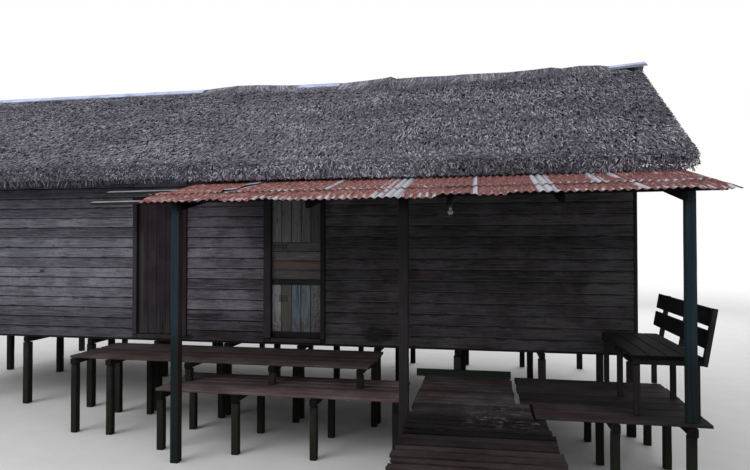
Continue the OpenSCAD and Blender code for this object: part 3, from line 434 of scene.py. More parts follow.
def rusted_sheet(name):
    """Rust with bare zinc that follows the sheets' own values, the crests and the lapped edges, with painted
    highlights, painted light and painted shade.
    """
    s = Shade(name)
    zinc_and_highlight, crest, run = s.split(s.attribute("sheet"))
    place = s.attribute("grain")
    east = s.split(s.rest())[0]
    runs = s.noise(place, (30.0, 3.0, 1.0), detail=6.0, rough=0.65)
    blots = s.noise(place, (7.0, 5.0, 1.0), detail=5.0, rough=0.6)
    specks = s.noise(place, (90.0, 60.0, 1.0), detail=4.0, rough=0.7)
    dirt = s.noise(place, (16.0, 3.6, 1.0), detail=6.0, rough=0.75)
    flakes = s.noise(place, (48.0, 8.0, 1.0), detail=5.0, rough=0.75)
    rust = s.ramp(runs, [
        (0.25, (0.080, 0.030, 0.031)), (0.48, (0.210, 0.066, 0.058)),
        (0.62, (0.290, 0.108, 0.096)), (0.80, (0.430, 0.250, 0.235)),
    ])
    rust = s.lay(rust, (0.250, 0.090, 0.068), s.fade(blots, 0.50, 0.72))
    rust = s.tint(rust, s.ramp(specks, [(0.3, 0.74), (0.7, 1.26)]))
    # painted light in the troughs and painted shade on the crests, to even out the corrugations' shading
    rust = s.tint(rust, s.ramp(crest, [(0.0, 1.15), (0.5, 1.05), (1.0, 0.92)]))
    rust = s.lay(rust, (0.110, 0.038, 0.037), s.fade(dirt, 0.50, 0.60), 0.65)
    rust = s.lay(rust, (0.58, 0.44, 0.42), s.fade(flakes, 0.54, 0.62), 0.80)
    rust = s.lay(rust, (0.085, 0.030, 0.031), s.fade(flakes, 0.44, 0.36), 0.80)
    rust = s.lay(rust, s.tint(rust, (0.70, 0.62, 0.64)), s.fade(east, 2.0, 3.4))
    rust = s.lay(rust, (0.44, 0.38, 0.40), s.fade(specks, 0.62, 0.70), 0.7)
    # painted light on the sheets' upper end, in the shade under the thatch eave
    rust = s.lay(rust, s.tint(rust, 1.9), s.fade(run, 1.30, 1.55))
    zinc = s.ramp(runs, [(0.3, (0.34, 0.33, 0.38)), (0.6, (0.50, 0.50, 0.57)), (0.8, (0.68, 0.68, 0.74))])
    # painted shade in the troughs of the bare zinc
    zinc = s.lay(zinc, (0.15, 0.12, 0.14), s.fade(crest, 0.45, 0.10), 0.6)
    reach = s.total(s.product(runs, 0.55), s.product(blots, 0.45))
    reach = s.total(reach, s.product(crest, 0.05))
    # bare zinc, with painted highlights on the crests along the lower edges
    bare = s.fade(s.total(reach, zinc_and_highlight), 0.60, 0.76)
    base = s.lay(rust, zinc, bare)
    # painted shadow of the upper course's edge on the lower sheets
    shade = s.product(s.fade(run, SHADE_FROM, SHADE_FULL), s.fade(run, SHADE_TO + 0.012, SHADE_TO))
    base = s.lay(base, (0.040, 0.022, 0.023), shade, 0.7)
    # painted shade on faces that look down
    base = s.lay(base, (0.035, 0.026, 0.026), s.fade(s.normal()[2], 0.1, -0.2))
    s.bump(s.total(specks, s.product(runs, 0.5)), 0.0015, 0.5)
    return s.finish(base, s.less(1.0, s.product(bare, 0.35)), s.product(bare, 0.2))


# The lifted ridge sheet's slope and the height where its lower edge would meet x = 0, and the
# height of the other ridge sheets' lower edges
LIFT = math.radians(4.5)
LIFTED_LOW = 4.9486 - 5.145 * math.tan(LIFT) - 0.045
WING_LOW = RIDGE_Z - 0.150 * math.tan(PITCH)


def zinc_sheet(name):
    """Bluish zinc, with the lower edges of the ridge sheets in their own shade."""
    s = Shade(name)
    spot = s.split(s.rest())
    cloud = s.noise(s.rest(), 5.0, detail=5.0, rough=0.6)
    grit = s.noise(s.rest(), 70.0, detail=3.0)
    base = s.ramp(cloud, [(0.3, (0.31, 0.36, 0.54)), (0.55, (0.49, 0.56, 0.80)), (0.75, (0.61, 0.68, 0.90))])
    base = s.lay(base, (0.27, 0.22, 0.20), s.fade(grit, 0.62, 0.72))
    rise = s.less(spot[2], s.product(spot[0], math.tan(LIFT)))
    low = s.product(s.fade(rise, LIFTED_LOW + 0.012, LIFTED_LOW - 0.012), s.fade(spot[0], 4.0, 4.1))
    base = s.lay(base, (0.050, 0.055, 0.080), low, 0.85)
    edge = s.total(spot[2], s.uneven(cloud, 0.05))
    edge = s.product(s.fade(edge, WING_LOW + 0.034, WING_LOW + 0.022), s.fade(spot[0], 4.1, 4.0))
    base = s.lay(base, (0.060, 0.062, 0.085), edge, 0.85)
    s.bump(cloud, 0.004, 0.3)
    return s.finish(base, s.ramp(grit, [(0.3, 0.6), (0.7, 0.42)]), 0.35)


def iron(name):
    s = Shade(name)
    pits = s.noise(s.rest(), 160.0, detail=5.0, rough=0.7)
    rust = [(0.3, (0.016, 0.012, 0.011)), (0.55, (0.055, 0.030, 0.020)), (0.75, (0.12, 0.055, 0.03))]
    s.bump(pits, 0.0012, 0.6)
    return s.finish(s.ramp(pits, rust), s.ramp(pits, [(0.3, 0.9), (0.8, 0.6)]), 0.4)


def dark_plastic(name):
    s = Shade(name)
    dust = s.noise(s.rest(), 45.0, detail=4.0)
    base = s.ramp(dust, [(0.35, (0.006, 0.006, 0.0065)), (0.75, (0.018, 0.017, 0.016))])
    s.bump(dust, 0.0006, 0.3)
    return s.finish(base, s.ramp(dust, [(0.3, 0.45), (0.8, 0.8)]))


def opal_glass(name):
    s = Shade(name)
    haze = s.noise(s.rest(), 30.0, detail=3.0)
    base = s.ramp(haze, [(0.3, (0.30, 0.30, 0.29)), (0.7, (0.44, 0.44, 0.42))])
    s.shader.inputs["Subsurface Weight"].default_value = 0.2
    s.shader.inputs["Subsurface Radius"].default_value = (0.02, 0.02, 0.02)
    return s.finish(base, s.ramp(haze, [(0.3, 0.12), (0.8, 0.3)]))


# Factors by height: darker near the ground and mostly darker high up, which is painted shade under the eave
# and the porch roof, greener at painted feet
GREY_LEVELS = [(0.985, 0.50), (1.25, 0.60), (1.55, 1.0), (2.35, 1.0), (2.60, 0.92), (3.30, 1.0)]
REDDISH_LEVELS = [(0.985, 0.35), (1.20, 0.42), (1.42, 1.0), (2.25, 1.0), (2.60, 0.84), (3.30, 0.70)]
BROWN_LEVELS = [(0.985, 0.66), (1.30, 0.86), (1.70, 1.0), (2.10, 1.0), (2.45, 1.25), (3.30, 1.60)]
GREENED = (0.57, 0.51, 0.39)
PAINTED_LEVELS = [(0.0, GREENED), (1.15, GREENED), (1.45, 1.0), (2.80, 1.0)]
# painted shade on the plain post's top, under the porch roof
POST_SHADE_LEVELS = [(0.0, 1.0), (1.90, 1.0), (2.20, 0.45), (2.80, 0.40)]
# Stains on the walls, as x, z, half sizes and colour
GREY_STAINS = [
    (-2.80, 2.285, 0.035, 0.022, (0.016, 0.015, 0.018)),
    (-2.60, 2.243, 0.030, 0.020, (0.016, 0.015, 0.018)),
    (-2.78, 1.889, 0.040, 0.020, (0.018, 0.017, 0.020)),
    (-3.10, 2.215, 0.55, 0.115, (0.120, 0.124, 0.158)),
]
REDDISH_STAINS = [
    (-0.30, 1.305, 0.42, 0.045, (0.026, 0.024, 0.026)),
    (-0.42, 1.200, 0.34, 0.022, (0.150, 0.070, 0.075)),
    (-0.10, 1.075, 0.36, 0.060, (0.085, 0.050, 0.053)),
    (-0.62, 1.020, 0.20, 0.050, (0.030, 0.026, 0.032)),
]
BROWN_STAINS = [
    (2.69, 1.90, 0.11, 0.09, (0.088, 0.060, 0.060)),
    (1.62, 1.22, 0.22, 0.10, (0.100, 0.094, 0.103)),
    (4.15, 1.26, 0.36, 0.12, (0.092, 0.086, 0.090)),
    (2.05, 1.12, 0.20, 0.12, (0.016, 0.014, 0.016)),
    (4.85, 1.75, 0.30, 0.30, (0.092, 0.087, 0.092)),
]
POST_CHIP = [(5.19, 1.575, 0.030, 0.085, (0.20, 0.20, 0.20))]
TEAL = Paint((0.0190, 0.0345, 0.0480), 0.60, True)
GREEN = Paint((0.0140, 0.0230, 0.0170), 0.48, False)
# Timbers by name: colour, warmer colour of the streaks, and what else differs
TIMBERS = [
    ("wet_timber", (0.019, 0.017, 0.016), None, dict(wet=True)),
    ("inside_timber", (0.075, 0.058, 0.046), None, {}),
    ("inside_timber_x", (0.075, 0.058, 0.046), None, dict(along_x=True)),
    ("grey_cladding", (0.127, 0.125, 0.151), (0.118, 0.104, 0.114),
     dict(mildew=0.6, lapped=1.0, levels=GREY_LEVELS, spots=GREY_STAINS)),
    ("reddish_cladding", (0.114, 0.106, 0.128), (0.108, 0.080, 0.080),
     dict(mildew=0.45, contrast=1.4, lapped=1.0, levels=REDDISH_LEVELS, spots=REDDISH_STAINS)),
    ("brown_cladding", (0.061, 0.057, 0.062), (0.059, 0.048, 0.048),
     dict(mildew=0.45, contrast=1.3, lapped=0.45, levels=BROWN_LEVELS, spots=BROWN_STAINS)),
    ("corner_timber", (0.042, 0.040, 0.046), None, dict(contrast=0.6)),
    ("maroon_timber", (0.0197, 0.0148, 0.0182), (0.0230, 0.0130, 0.0152), dict(rim=0.15, places=worn_foot)),
    ("dark_timber", (0.0230, 0.0212, 0.0232), None, dict(rim=0.3)),
    ("shaded_timber", (0.0060, 0.0056, 0.0060), None, dict(rim=0.2)),
    ("plain_post", (0.0150, 0.0133, 0.0147), None, dict(rim=0.3, levels=POST_SHADE_LEVELS)),
    ("teal_paint", (0.0300, 0.0215, 0.0215), None, dict(paint=TEAL, spots=POST_CHIP, levels=PAINTED_LEVELS)),
    # pale for the painted light on the purlins' tops
    ("purlin_timber", (0.19, 0.185, 0.195), None, dict(places=purlin_light_and_shade)),
    ("deck_timber", (0.0400, 0.0335, 0.0350), (0.066, 0.0370, 0.0390), dict(contrast=1.4)),
    ("left_deck_timber", (0.068, 0.0510, 0.0530), (0.110, 0.0600, 0.0610), dict(contrast=1.3)),
    ("walkway_timber", (0.0450, 0.0350, 0.0345), (0.070, 0.0400, 0.0400), dict(contrast=1.3)),
    ("right_deck_timber", (0.0190, 0.0168, 0.0176), (0.0240, 0.0162, 0.0168),
     dict(contrast=1.4, places=pale_front)),
    ("green_paint", (0.022, 0.019, 0.018), None, dict(paint=GREEN)),
    ("old_planks", (0.0059, 0.0052, 0.0056), (0.0083, 0.0053, 0.0056), dict(contrast=1.6, places=old_walk)),
    ("bench_timber", (0.0150, 0.0134, 0.0140), None, dict(contrast=1.4)),
    ("bench_back_timber", (0.0090, 0.0100, 0.0096), None, {}),
    ("bench_seat_timber", (0.0066, 0.0063, 0.0070), None, dict(contrast=1.4)),
]
MATERIALS = {name: timber(name, colour, warm, **more) for name, colour, warm, more in TIMBERS}
for name, maker, values in (
    ("patchwork_boards", patchwork, ()),
    ("thatch", thatch_body, ()),
    ("front_leaves", thatch_leaves,
     ((0.054, 0.052, 0.066), (0.146, 0.142, 0.180), (0.60, 0.60, 0.68), (0.28, 0.62))),
    ("eave_leaves", thatch_leaves, ((0.042, 0.040, 0.051), (0.118, 0.114, 0.144), (0.52, 0.52, 0.59))),
    ("ridge_leaves", thatch_leaves, ((0.042, 0.041, 0.053), (0.130, 0.126, 0.160), (0.50, 0.50, 0.57))),
    ("ridge_metal", zinc_sheet, ()),
    ("rusted_iron", rusted_sheet, ()),
    ("hinge_iron", iron, ()),
    ("lamp_plastic", dark_plastic, ()),
    ("bulb_glass", opal_glass, ()),
):
    MATERIALS[name] = maker(name, *values)


# Mesh helpers
def add_object(name, data):
    """A new object in the scene, for a mesh, a light or a camera."""
    made = bpy.data.objects.new(name, data)
    bpy.context.scene.collection.objects.link(made)
    return made


class Pile:
    """Gathers many small solids in one mesh, with the values that the materials read."""

    def __init__(self, seed):
        self.rng = np.random.default_rng(seed)
        self.points = []
        self.faces = []
        self.values = {}
        self.count = 0

    def add(self, points, faces, **values):
        points = np.asarray(points, float).reshape(-1, 3)
        for face_set in faces:
            self.faces.extend((np.asarray(face_set) + self.count).tolist())
        for key, value in values.items():
            self.values.setdefault(key, []).append(np.asarray(value, float).reshape(-1, 3))
        self.points.append(points)
        self.count += len(points)

    def build(self, name, material, body="root", replaces=()):
        """Makes one piece, with its material and the slot that goes with it."""
        mesh = bpy.data.meshes.new(name)
        mesh.from_pydata(np.concatenate(self.points).tolist(), [], self.faces)
        for key, parts in self.values.items():
            data = np.concatenate(parts)
            kind, field = "FLOAT_VECTOR", "vector"
            if key == "paint":
                kind, field = "FLOAT_COLOR", "color"
                data = np.column_stack([data, np.ones(len(data))])
            layer = mesh.attributes.new(key, kind, "POINT")
            layer.data.foreach_set(field, data.astype(np.float32).ravel())
        mesh.update()
        piece = add_object(name, mesh)
        mesh.materials.append(MATERIALS[material])
        if replaces:
            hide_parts(*replaces)
        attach(piece, body)
        return piece


# Wave lengths of uneven edges, in metres
WAVES = (1.3, 0.55, 0.21)


def wobble(u, rng, reach):
    """A smooth uneven line between 0 and reach along u, in metres."""
    total = np.zeros_like(u)
    for wave in WAVES:
        length = wave * rng.uniform(0.8, 1.3)
        total += rng.uniform(0.5, 1.0) * np.sin(u * math.tau / length + rng.uniform(0, math.tau))
    return reach * (0.5 + total / 6)


def ring_faces(ring, stations):
    """Side quads and the two end caps of a tube of rings."""
    sides = []
    for i in range(stations - 1):
        for k in range(ring):
            after = (k + 1) % ring
            sides.append((i * ring + k, i * ring + after, (i + 1) * ring + after, (i + 1) * ring + k))
    last = (stations - 1) * ring
    return sides, [tuple(reversed(range(ring)))], [tuple(range(last, last + ring))]


# A straight solid: its middle, its axes along, across and through, half sizes and sloping ends
Prism = namedtuple("Prism", "centre axes half start end")
# Largest chamfer as a share of a board's half size
CHAMFER_SHARE = 0.35
# How a board is worn: chamfer, uneven edges, uneven faces, uneven ends, narrowing and the step along it
Wear = namedtuple("Wear", "chamfer edge face end taper step")


def solids_of(node):
    """The straight solids of a CAD node, read from its separate islands."""
    mesh = nodes[node].data
    points = np.zeros(len(mesh.vertices) * 3)
    mesh.vertices.foreach_get("co", points)
    points = points.reshape(-1, 3)
    _, weld = np.unique(np.round(points, 5), axis=0, return_inverse=True)
    weld = weld.ravel()
    parent = list(range(weld.max() + 1))

    def root(i):
        while parent[i] != i:
            parent[i] = parent[parent[i]]
            i = parent[i]
        return i

    for face in mesh.polygons:
        first = root(weld[face.vertices[0]])
        for v in face.vertices:
            parent[root(weld[v])] = first
    groups = {}
    for face in mesh.polygons:
        groups.setdefault(root(weld[face.vertices[0]]), []).append(face)
    prisms = []
    for faces in groups.values():
        corners = np.unique(np.round([points[v] for face in faces for v in face.vertices], 6), axis=0)
        prisms.append(prism_of(corners, faces))
    return sorted(prisms, key=lambda p: tuple(np.round(p.centre, 3)))


def prism_of(corners, faces):
    """The prism around one island: its axes from the largest faces, its ends fitted as planes."""
    areas = {}
    for face in faces:
        normal = np.array(face.normal)
        normal *= np.sign(normal[np.argmax(np.abs(normal))])
        key = tuple(np.round(normal, 3))
        areas[key] = areas.get(key, 0.0) + face.area
    directions = sorted(areas, key=areas.get, reverse=True)
    first = np.array(directions[0])
    first /= np.linalg.norm(first)
    second = next(np.array(d) for d in directions[1:] if abs(np.dot(d, first)) < 0.02)
    second = second - np.dot(second, first) * first
    second /= np.linalg.norm(second)
    axes = [first, second, np.cross(first, second)]
    spans = [corners @ axis for axis in axes]
    order = sorted(range(3), key=lambda i: np.ptp(spans[i]), reverse=True)
    along, across = axes[order[0]], axes[order[1]]
    through = np.cross(along, across)
    axes = np.array([along, across, through])
    local = corners @ axes.T
    middle = (local.min(0) + local.max(0)) / 2
    local = local - middle
    half = np.abs(local).max(0)
    ends = []
    for side in (local[:, 0] < 0, local[:, 0] > 0):
        grid = np.column_stack([np.ones(side.sum()), local[side][:, 1:]])
        ends.append(np.linalg.lstsq(grid, local[side][:, 0], rcond=None)[0])
    return Prism(middle @ axes, axes, half, *ends)


def add_board(pile, prism, wear, paint=None):
    """One board with chamfered, uneven edges that stays inside its solid."""
    rng = pile.rng
    length, width, thick = prism.half
    stations = max(3, int(round(2 * length / wear.step)) + 1)
    c = min(wear.chamfer, width * CHAMFER_SHARE, thick * CHAMFER_SHARE)
    across = np.array([width, width, width - c, c - width, -width, -width, c - width, width - c])
    through = np.array([c - thick, thick - c, thick, thick, thick - c, c - thick, -thick, -thick])
    t = np.linspace(0, 1, stations)[:, None]
    u = t * 2 * length
    v = np.repeat(across[None], stations, 0)
    w = np.repeat(through[None], stations, 0)
    narrow = rng.uniform(0, wear.taper, 2)
    t_end = t if rng.random() < 0.5 else 1 - t
    v = v - np.where(across > 0, wobble(u, rng, wear.edge) + narrow[0] * t_end, 0)
    v = v + np.where(across < 0, wobble(u, rng, wear.edge) + narrow[1] * t_end, 0)
    w = w - np.where(through > 0, wobble(u, rng, wear.face), 0)
    low = prism.start[0] + prism.start[1] * v + prism.start[2] * w
    high = prism.end[0] + prism.end[1] * v + prism.end[2] * w
    low = low + rng.uniform(0, wear.end) * (0.4 + 0.6 * rng.random(8))
    high = high - rng.uniform(0, wear.end) * (0.4 + 0.6 * rng.random(8))
    along = low + (high - low) * t
    local = np.stack([along, v, w], axis=-1)
    points = prism.centre + local @ prism.axes
    shift = rng.uniform(0, 20, 3)
    tone = rng.random()
    from_end = np.minimum(along + length, length - along)
    board = np.stack([np.full_like(v, tone), v / width, from_end], axis=-1)
    values = {"grain": local + shift, "board": board}
    if paint is not None:
        values["paint"] = np.tile(paint, (stations * 8, 1))
    pile.add(points, ring_faces(8, stations), **values)


def dress(name, cad, material, wear, seed, body="root"):
    """Replaces a CAD node of straight solids with worn boards in the same places."""
    pile = Pile(seed)
    for prism in solids_of(cad):
        add_board(pile, prism, wear)
    pile.build(name, material, body, (cad,))


# Frame, decks, posts, doors and bench: every straight piece
SAWN = Wear(0.004, 0.003, 0.001, 0.003, 0.0, 0.16)
ROUGH = Wear(0.007, 0.006, 0.002, 0.008, 0.0, 0.14)
DECK = Wear(0.005, 0.009, 0.003, 0.016, 0.020, 0.07)
OLD = Wear(0.006, 0.016, 0.007, 0.022, 0.045, 0.07)
DOOR = Wear(0.002, 0.0012, 0.0005, 0.001, 0.0, 0.09)
# Each piece of straight boards: its name, CAD node, material and wear
STRAIGHT = [
    ("stilts_of_house", "house_stilts", "wet_timber", ROUGH),
    ("bearers_of_house", "cross_bearers", "wet_timber", ROUGH),
    ("joists", "floor_joists", "wet_timber", SAWN),
    ("studs", "wall_studs", "inside_timber", SAWN),
    ("rafter_poles", "rafters", "inside_timber", ROUGH),
    ("battens", "roof_battens", "inside_timber", ROUGH),
    ("corner_trim", "corner_boards", "corner_timber", SAWN),
    ("left_frame_boards", "left_door_frame", "maroon_timber", SAWN),
    ("right_frame_boards", "right_door_frame", "dark_timber", SAWN),
    ("painted_posts", "painted_porch_posts", "teal_paint", SAWN),
    ("plain_post", "plain_porch_post", "plain_post", SAWN),
    ("ledger_board", "porch_ledger", "shaded_timber", SAWN),
    ("porch_rafter_poles", "porch_rafters", "shaded_timber", SAWN),
    ("porch_purlin_boards", "porch_purlins", "purlin_timber", SAWN),
    ("stilts_of_decks", "deck_stilts", "wet_timber", ROUGH),
    ("bearers_of_decks", "deck_bearers", "wet_timber", ROUGH),
    ("left_deck_planks", "left_deck_boards", "left_deck_timber", DECK),
    ("middle_deck_planks", "middle_deck_boards", "deck_timber", DECK),
    ("right_deck_planks", "right_deck_boards", "right_deck_timber", DECK),
    ("beam_of_green_paint", "green_beam", "green_paint", SAWN),
    ("boardwalk_old_planks", "boardwalk_planks", "old_planks", OLD),
    ("walkway_old_planks", "walkway_planks", "walkway_timber", DECK),
    ("bench_legs", "bench_posts", "bench_timber", SAWN),
    ("bench_cross_rails", "bench_rails", "bench_timber", SAWN),
    ("bench_seat_planks", "bench_seat", "bench_seat_timber", SAWN),
    ("bench_back_planks", "bench_back", "bench_back_timber", SAWN),
]
for seed, (name, cad, material, wear) in enumerate(STRAIGHT, start=100):
    dress(name, cad, material, wear, seed)
dress("left_leaf_boards", "left_door_boards", "maroon_timber", DOOR, 11, "left_door")
dress("left_leaf_ledges", "left_door_ledges", "dark_timber", DOOR, 12, "left_door")
dress("right_leaf_rails", "right_door_rails", "dark_timber", DOOR, 13, "right_door")

# Colours of the right door's boards, from the left in each upright panel and upwards in the level one
LOW_PANEL = [
    (0.236, 0.232, 0.247), (0.073, 0.075, 0.053), (0.105, 0.133, 0.176),
    (0.114, 0.153, 0.167), (0.135, 0.132, 0.141),
]
LEVEL_PANEL = [(0.076, 0.071, 0.073), (0.104, 0.075, 0.072), (0.122, 0.113, 0.114), (0.082, 0.077, 0.080)]
TOP_PANEL = [
    (0.200, 0.190, 0.200), (0.166, 0.162, 0.172), (0.176, 0.165, 0.170),
    (0.142, 0.136, 0.142), (0.066, 0.062, 0.066),
]


def dress_patchwork():
    """The right door's boards: a level panel between two upright ones."""
    pile = Pile(21)
    solids = solids_of("right_door_boards")
    upright = [p for p in solids if abs(p.axes[0][2]) > 0.9]
    level = sorted((p for p in solids if abs(p.axes[0][2]) <= 0.9), key=lambda p: p.centre[2])
    middle = np.mean([p.centre[2] for p in level])
    low = [p for p in upright if p.centre[2] < middle]
    top = [p for p in upright if p.centre[2] > middle]
    for panel, colours in ((low, LOW_PANEL), (level, LEVEL_PANEL), (top, TOP_PANEL)):
        for prism, colour in zip(panel, colours):
            add_board(pile, prism, DOOR, colour)
    pile.build("right_leaf_boards", "patchwork_boards", "right_door", ("right_door_boards",))


# Number of floor boards and the gap between them
FLOOR_BOARDS = 66
FLOOR_GAP = 0.003


def dress_floor():
    """Floor boards across the joists."""
    low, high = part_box("floor")
    pitch = (high.x - low.x) / FLOOR_BOARDS
    pile = Pile(31)
    half = np.array([(high.y - low.y) / 2, (pitch - FLOOR_GAP) / 2, (high.z - low.z) / 2])
    axes = np.array([Y_AXIS, X_AXIS, -Z_AXIS])
    for i in range(FLOOR_BOARDS):
        centre = np.array([low.x + (i + 0.5) * pitch, 0.0, (low.z + high.z) / 2])
        add_board(pile, Prism(centre, axes, half, (-half[0], 0, 0), (half[0], 0, 0)), SAWN)
    pile.build("floor_boards", "inside_timber", replaces=("floor",))


dress_patchwork()
dress_floor()


# Lapped cladding: a wall's origin, its direction along and its direction inwards
Wall = namedtuple("Wall", "origin along inward")
FRONT = Wall(np.array([0, -HALF_DEPTH, 0]), X_AXIS, Y_AXIS)
BACK = Wall(np.array([0, HALF_DEPTH, 0]), -X_AXIS, -Y_AXIS)
LEFT = Wall(np.array([-HALF_LENGTH, 0, 0]), -Y_AXIS, X_AXIS)
RIGHT = Wall(np.array([HALF_LENGTH, 0, 0]), Y_AXIS, -X_AXIS)
BOARD_T = 0.010
BOARD_LEAN = 0.011
BOARD_LAP = 0.015
BOARD_STEP = 0.09
# Shortest board, the gap where two meet, and the share of a lower edge that is chipped
BOARD_LEAST = 0.4
BUTT_GAP = 0.001
CHIP_SHARE = 0.06
# A chip's depth, how far a board is cupped, and how uneven its lower edge is, up and outwards
CHIP_DEPTH = (0.003, 0.010)
CUPPING = (-0.0012, 0.0004)
EDGE_UP = 0.005
EDGE_DROP = 0.002
EDGE_OUT = 0.003
# Spread of the boards' tones, and how often a course has one more joint
TONE_SPREAD = 0.26
MORE_JOINTS = 0.3
GABLE_TOP = RIDGE_Z - (THATCH_T + 0.0359) / math.cos(PITCH)


def gable_limit(z):
    """Half width of the gable at a height."""
    return np.clip((GABLE_TOP - z) / math.tan(PITCH), 0.004, HALF_DEPTH - 0.022)


def add_lapped_board(pile, wall, a0, a1, z0, z1, limit, tone):
    """One leaning board from a0 to a1 along a wall, chipped and uneven at its lower edge."""
    rng = pile.rng
    height = min(BOARD_SHOWS + BOARD_LAP, z1 - z0)
    stations = max(3, int(round((a1 - a0) / BOARD_STEP)) + 1)
    t = np.linspace(0, 1, stations)[:, None]
    up = np.array([0.0, 0.0, height, height, height * 0.5, 0.003])
    back = np.array([0.002, BOARD_T, BOARD_T, 0.0, 0.0, 0.0])
    h = np.repeat(up[None], stations, 0)
    lower = np.array([1, 1, 0, 0, 0, 1])
    chipped = rng.random((stations, 1)) < CHIP_SHARE
    chips = np.where(chipped, rng.uniform(*CHIP_DEPTH, (stations, 1)), 0)
    h = h + lower * (wobble(t * (a1 - a0), rng, EDGE_UP) - EDGE_DROP + chips)
    cup = rng.uniform(*CUPPING)
    depth = BOARD_LEAN * h / BOARD_SHOWS + back + cup * np.array([0, 0, 0, 0, 1, 0])
    depth = depth + lower * wobble(t * (a1 - a0) + 3, rng, EDGE_OUT) * 0.7
    depth = np.maximum(depth, 0.0)
    z = z0 + h
    left = np.maximum(a0, -limit(z)) if limit else a0
    right = np.minimum(a1, limit(z)) if limit else a1
    a = np.broadcast_to(left + (right - left) * t, h.shape)
    points = wall.origin + a[..., None] * wall.along + depth[..., None] * wall.inward + z[..., None] * Z_AXIS
    shift = rng.uniform(0, 20, 3)
    grain = np.stack([a, h, depth], axis=-1) + shift
    rim = np.clip(2 * h / BOARD_SHOWS - 1, -1, 1)
    from_end = np.minimum(a - a0, a1 - a)
    board = np.stack([np.full_like(h, tone), np.minimum(rim, 0.8), from_end], axis=-1)
    lap = np.stack([h, h, h], axis=-1)
    pile.add(points, ring_faces(6, stations), grain=grain, board=board, lap=lap)


def clad(name, cad, wall, spans, material, seed, joints=(), limit=None, top=None):
    """Courses of lapped boards, butted at some of the given joints."""
    pile = Pile(seed)
    z_top = top or WALL_TOP
    for a0, a1, base in spans:
        inside = [j for j in joints if a0 + BOARD_LEAST < j < a1 - BOARD_LEAST]
        course = 0
        while base + course * BOARD_SHOWS < z_top - 0.01:
            z0 = base + course * BOARD_SHOWS
            number = min(len(inside), len(inside) // 4 + int(pile.rng.random() < MORE_JOINTS))
            cuts = sorted(pile.rng.choice(inside, number, replace=False)) if inside else []
            edges = [a0, *cuts, a1]
            for left, right in zip(edges, edges[1:]):
                reach = limit(np.array(z0)) if limit else 1e9
                if left > reach - 0.02 or right < 0.02 - reach:
                    continue
                tone = np.clip(pile.rng.normal(0.5, TONE_SPREAD), 0, 1)
                ends = (left + BUTT_GAP, right - BUTT_GAP)
                add_lapped_board(pile, wall, *ends, z0, z_top, limit, tone)
            course += 1
    pile.build(name, material, replaces=(cad,))


def width_of(node):
    """Where a node begins and ends along the house."""
    low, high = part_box(node)
    return low.x, high.x


# Places of studs, the doors' openings, how far boards and nails reach on the walls, and a nail's sizes
STUD_LINES = [-5.093 + 1.0186 * i for i in range(11)]
GABLE_STUDS = (-0.989, 0.0, 0.989)
DOORS = [width_of("left_door_frame"), width_of("right_door_frame")]
HEADS_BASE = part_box("front_wall_heads")[0].z
BACK_REACH = 5.11
GABLE_REACH = 1.978
NAIL_REACH = 5.08
NAIL_R = 0.0045
NAIL_UP = 0.030
NAIL_OUT = 0.0008
NAIL_IN = 0.006
NAIL_STRAY = 0.008
NAIL_RISE = 0.004


def nail_heads():
    """Nail heads over the studs, near the lower edge of each board of the long walls."""
    pile = Pile(48)
    turns = np.arange(6)[:, None] * math.tau / 6
    courses = int((WALL_TOP - WALL_BASE) / BOARD_SHOWS)
    for wall in (FRONT, BACK):
        head = NAIL_R * (np.cos(turns) * wall.along + np.sin(turns) * Z_AXIS)
        for stud in STUD_LINES:
            if wall is FRONT and any(low < stud < high for low, high in DOORS):
                continue
            for course in range(courses):
                a = np.clip(stud, -NAIL_REACH, NAIL_REACH) * wall.along[0] + pile.rng.normal(0, NAIL_STRAY)
                z = WALL_BASE + course * BOARD_SHOWS + NAIL_UP + pile.rng.normal(0, NAIL_RISE)
                ring = a * wall.along + z * Z_AXIS + wall.origin + head
                outer = ring - NAIL_OUT * wall.inward
                inner = ring + NAIL_IN * wall.inward
                pile.add(np.concatenate([inner, outer]), ring_faces(6, 2))
    pile.build("nails_of_long_walls", "hinge_iron")


nail_heads()
for cad, material, seed in (
    ("front_wall_left", "grey_cladding", 41),
    ("front_wall_middle", "reddish_cladding", 42),
    ("front_wall_right", "brown_cladding", 43),
):
    clad("boards_of_" + cad, cad, FRONT, [(*width_of(cad), WALL_BASE)], material, seed)
heads = [(*door, HEADS_BASE) for door in DOORS]
clad("boards_of_heads", "front_wall_heads", FRONT, heads, "grey_cladding", 44)
whole = [(-BACK_REACH, BACK_REACH, WALL_BASE)]
clad("boards_of_back_wall", "back_wall", BACK, whole, "grey_cladding", 45, STUD_LINES)
gable = [(-GABLE_REACH, GABLE_REACH, WALL_BASE)]
for cad, wall, material, seed in (
    ("left_gable_wall", LEFT, "grey_cladding", 46),
    ("right_gable_wall", RIGHT, "brown_cladding", 47),
):
    clad("boards_of_" + cad, cad, wall, gable, material, seed, GABLE_STUDS, gable_limit, GABLE_TOP - 0.02)


# Thatch
SIN, COS, TAN = math.sin(PITCH), math.cos(PITCH), math.tan(PITCH)
COURSE_RUN = (EAVE_Y - THATCH_T * SIN) / COS
COURSE = COURSE_RUN / COURSES


def slope_point(x, s, h, side):
    """A point s down the slope and h above the thatch's underside; side is -1 in front, 1 behind."""
    y = side * (s * COS + h * SIN)
    z = RIDGE_Z - THATCH_T / COS - s * SIN + h * COS
    return np.stack(np.broadcast_arrays(x, y, z), axis=-1)


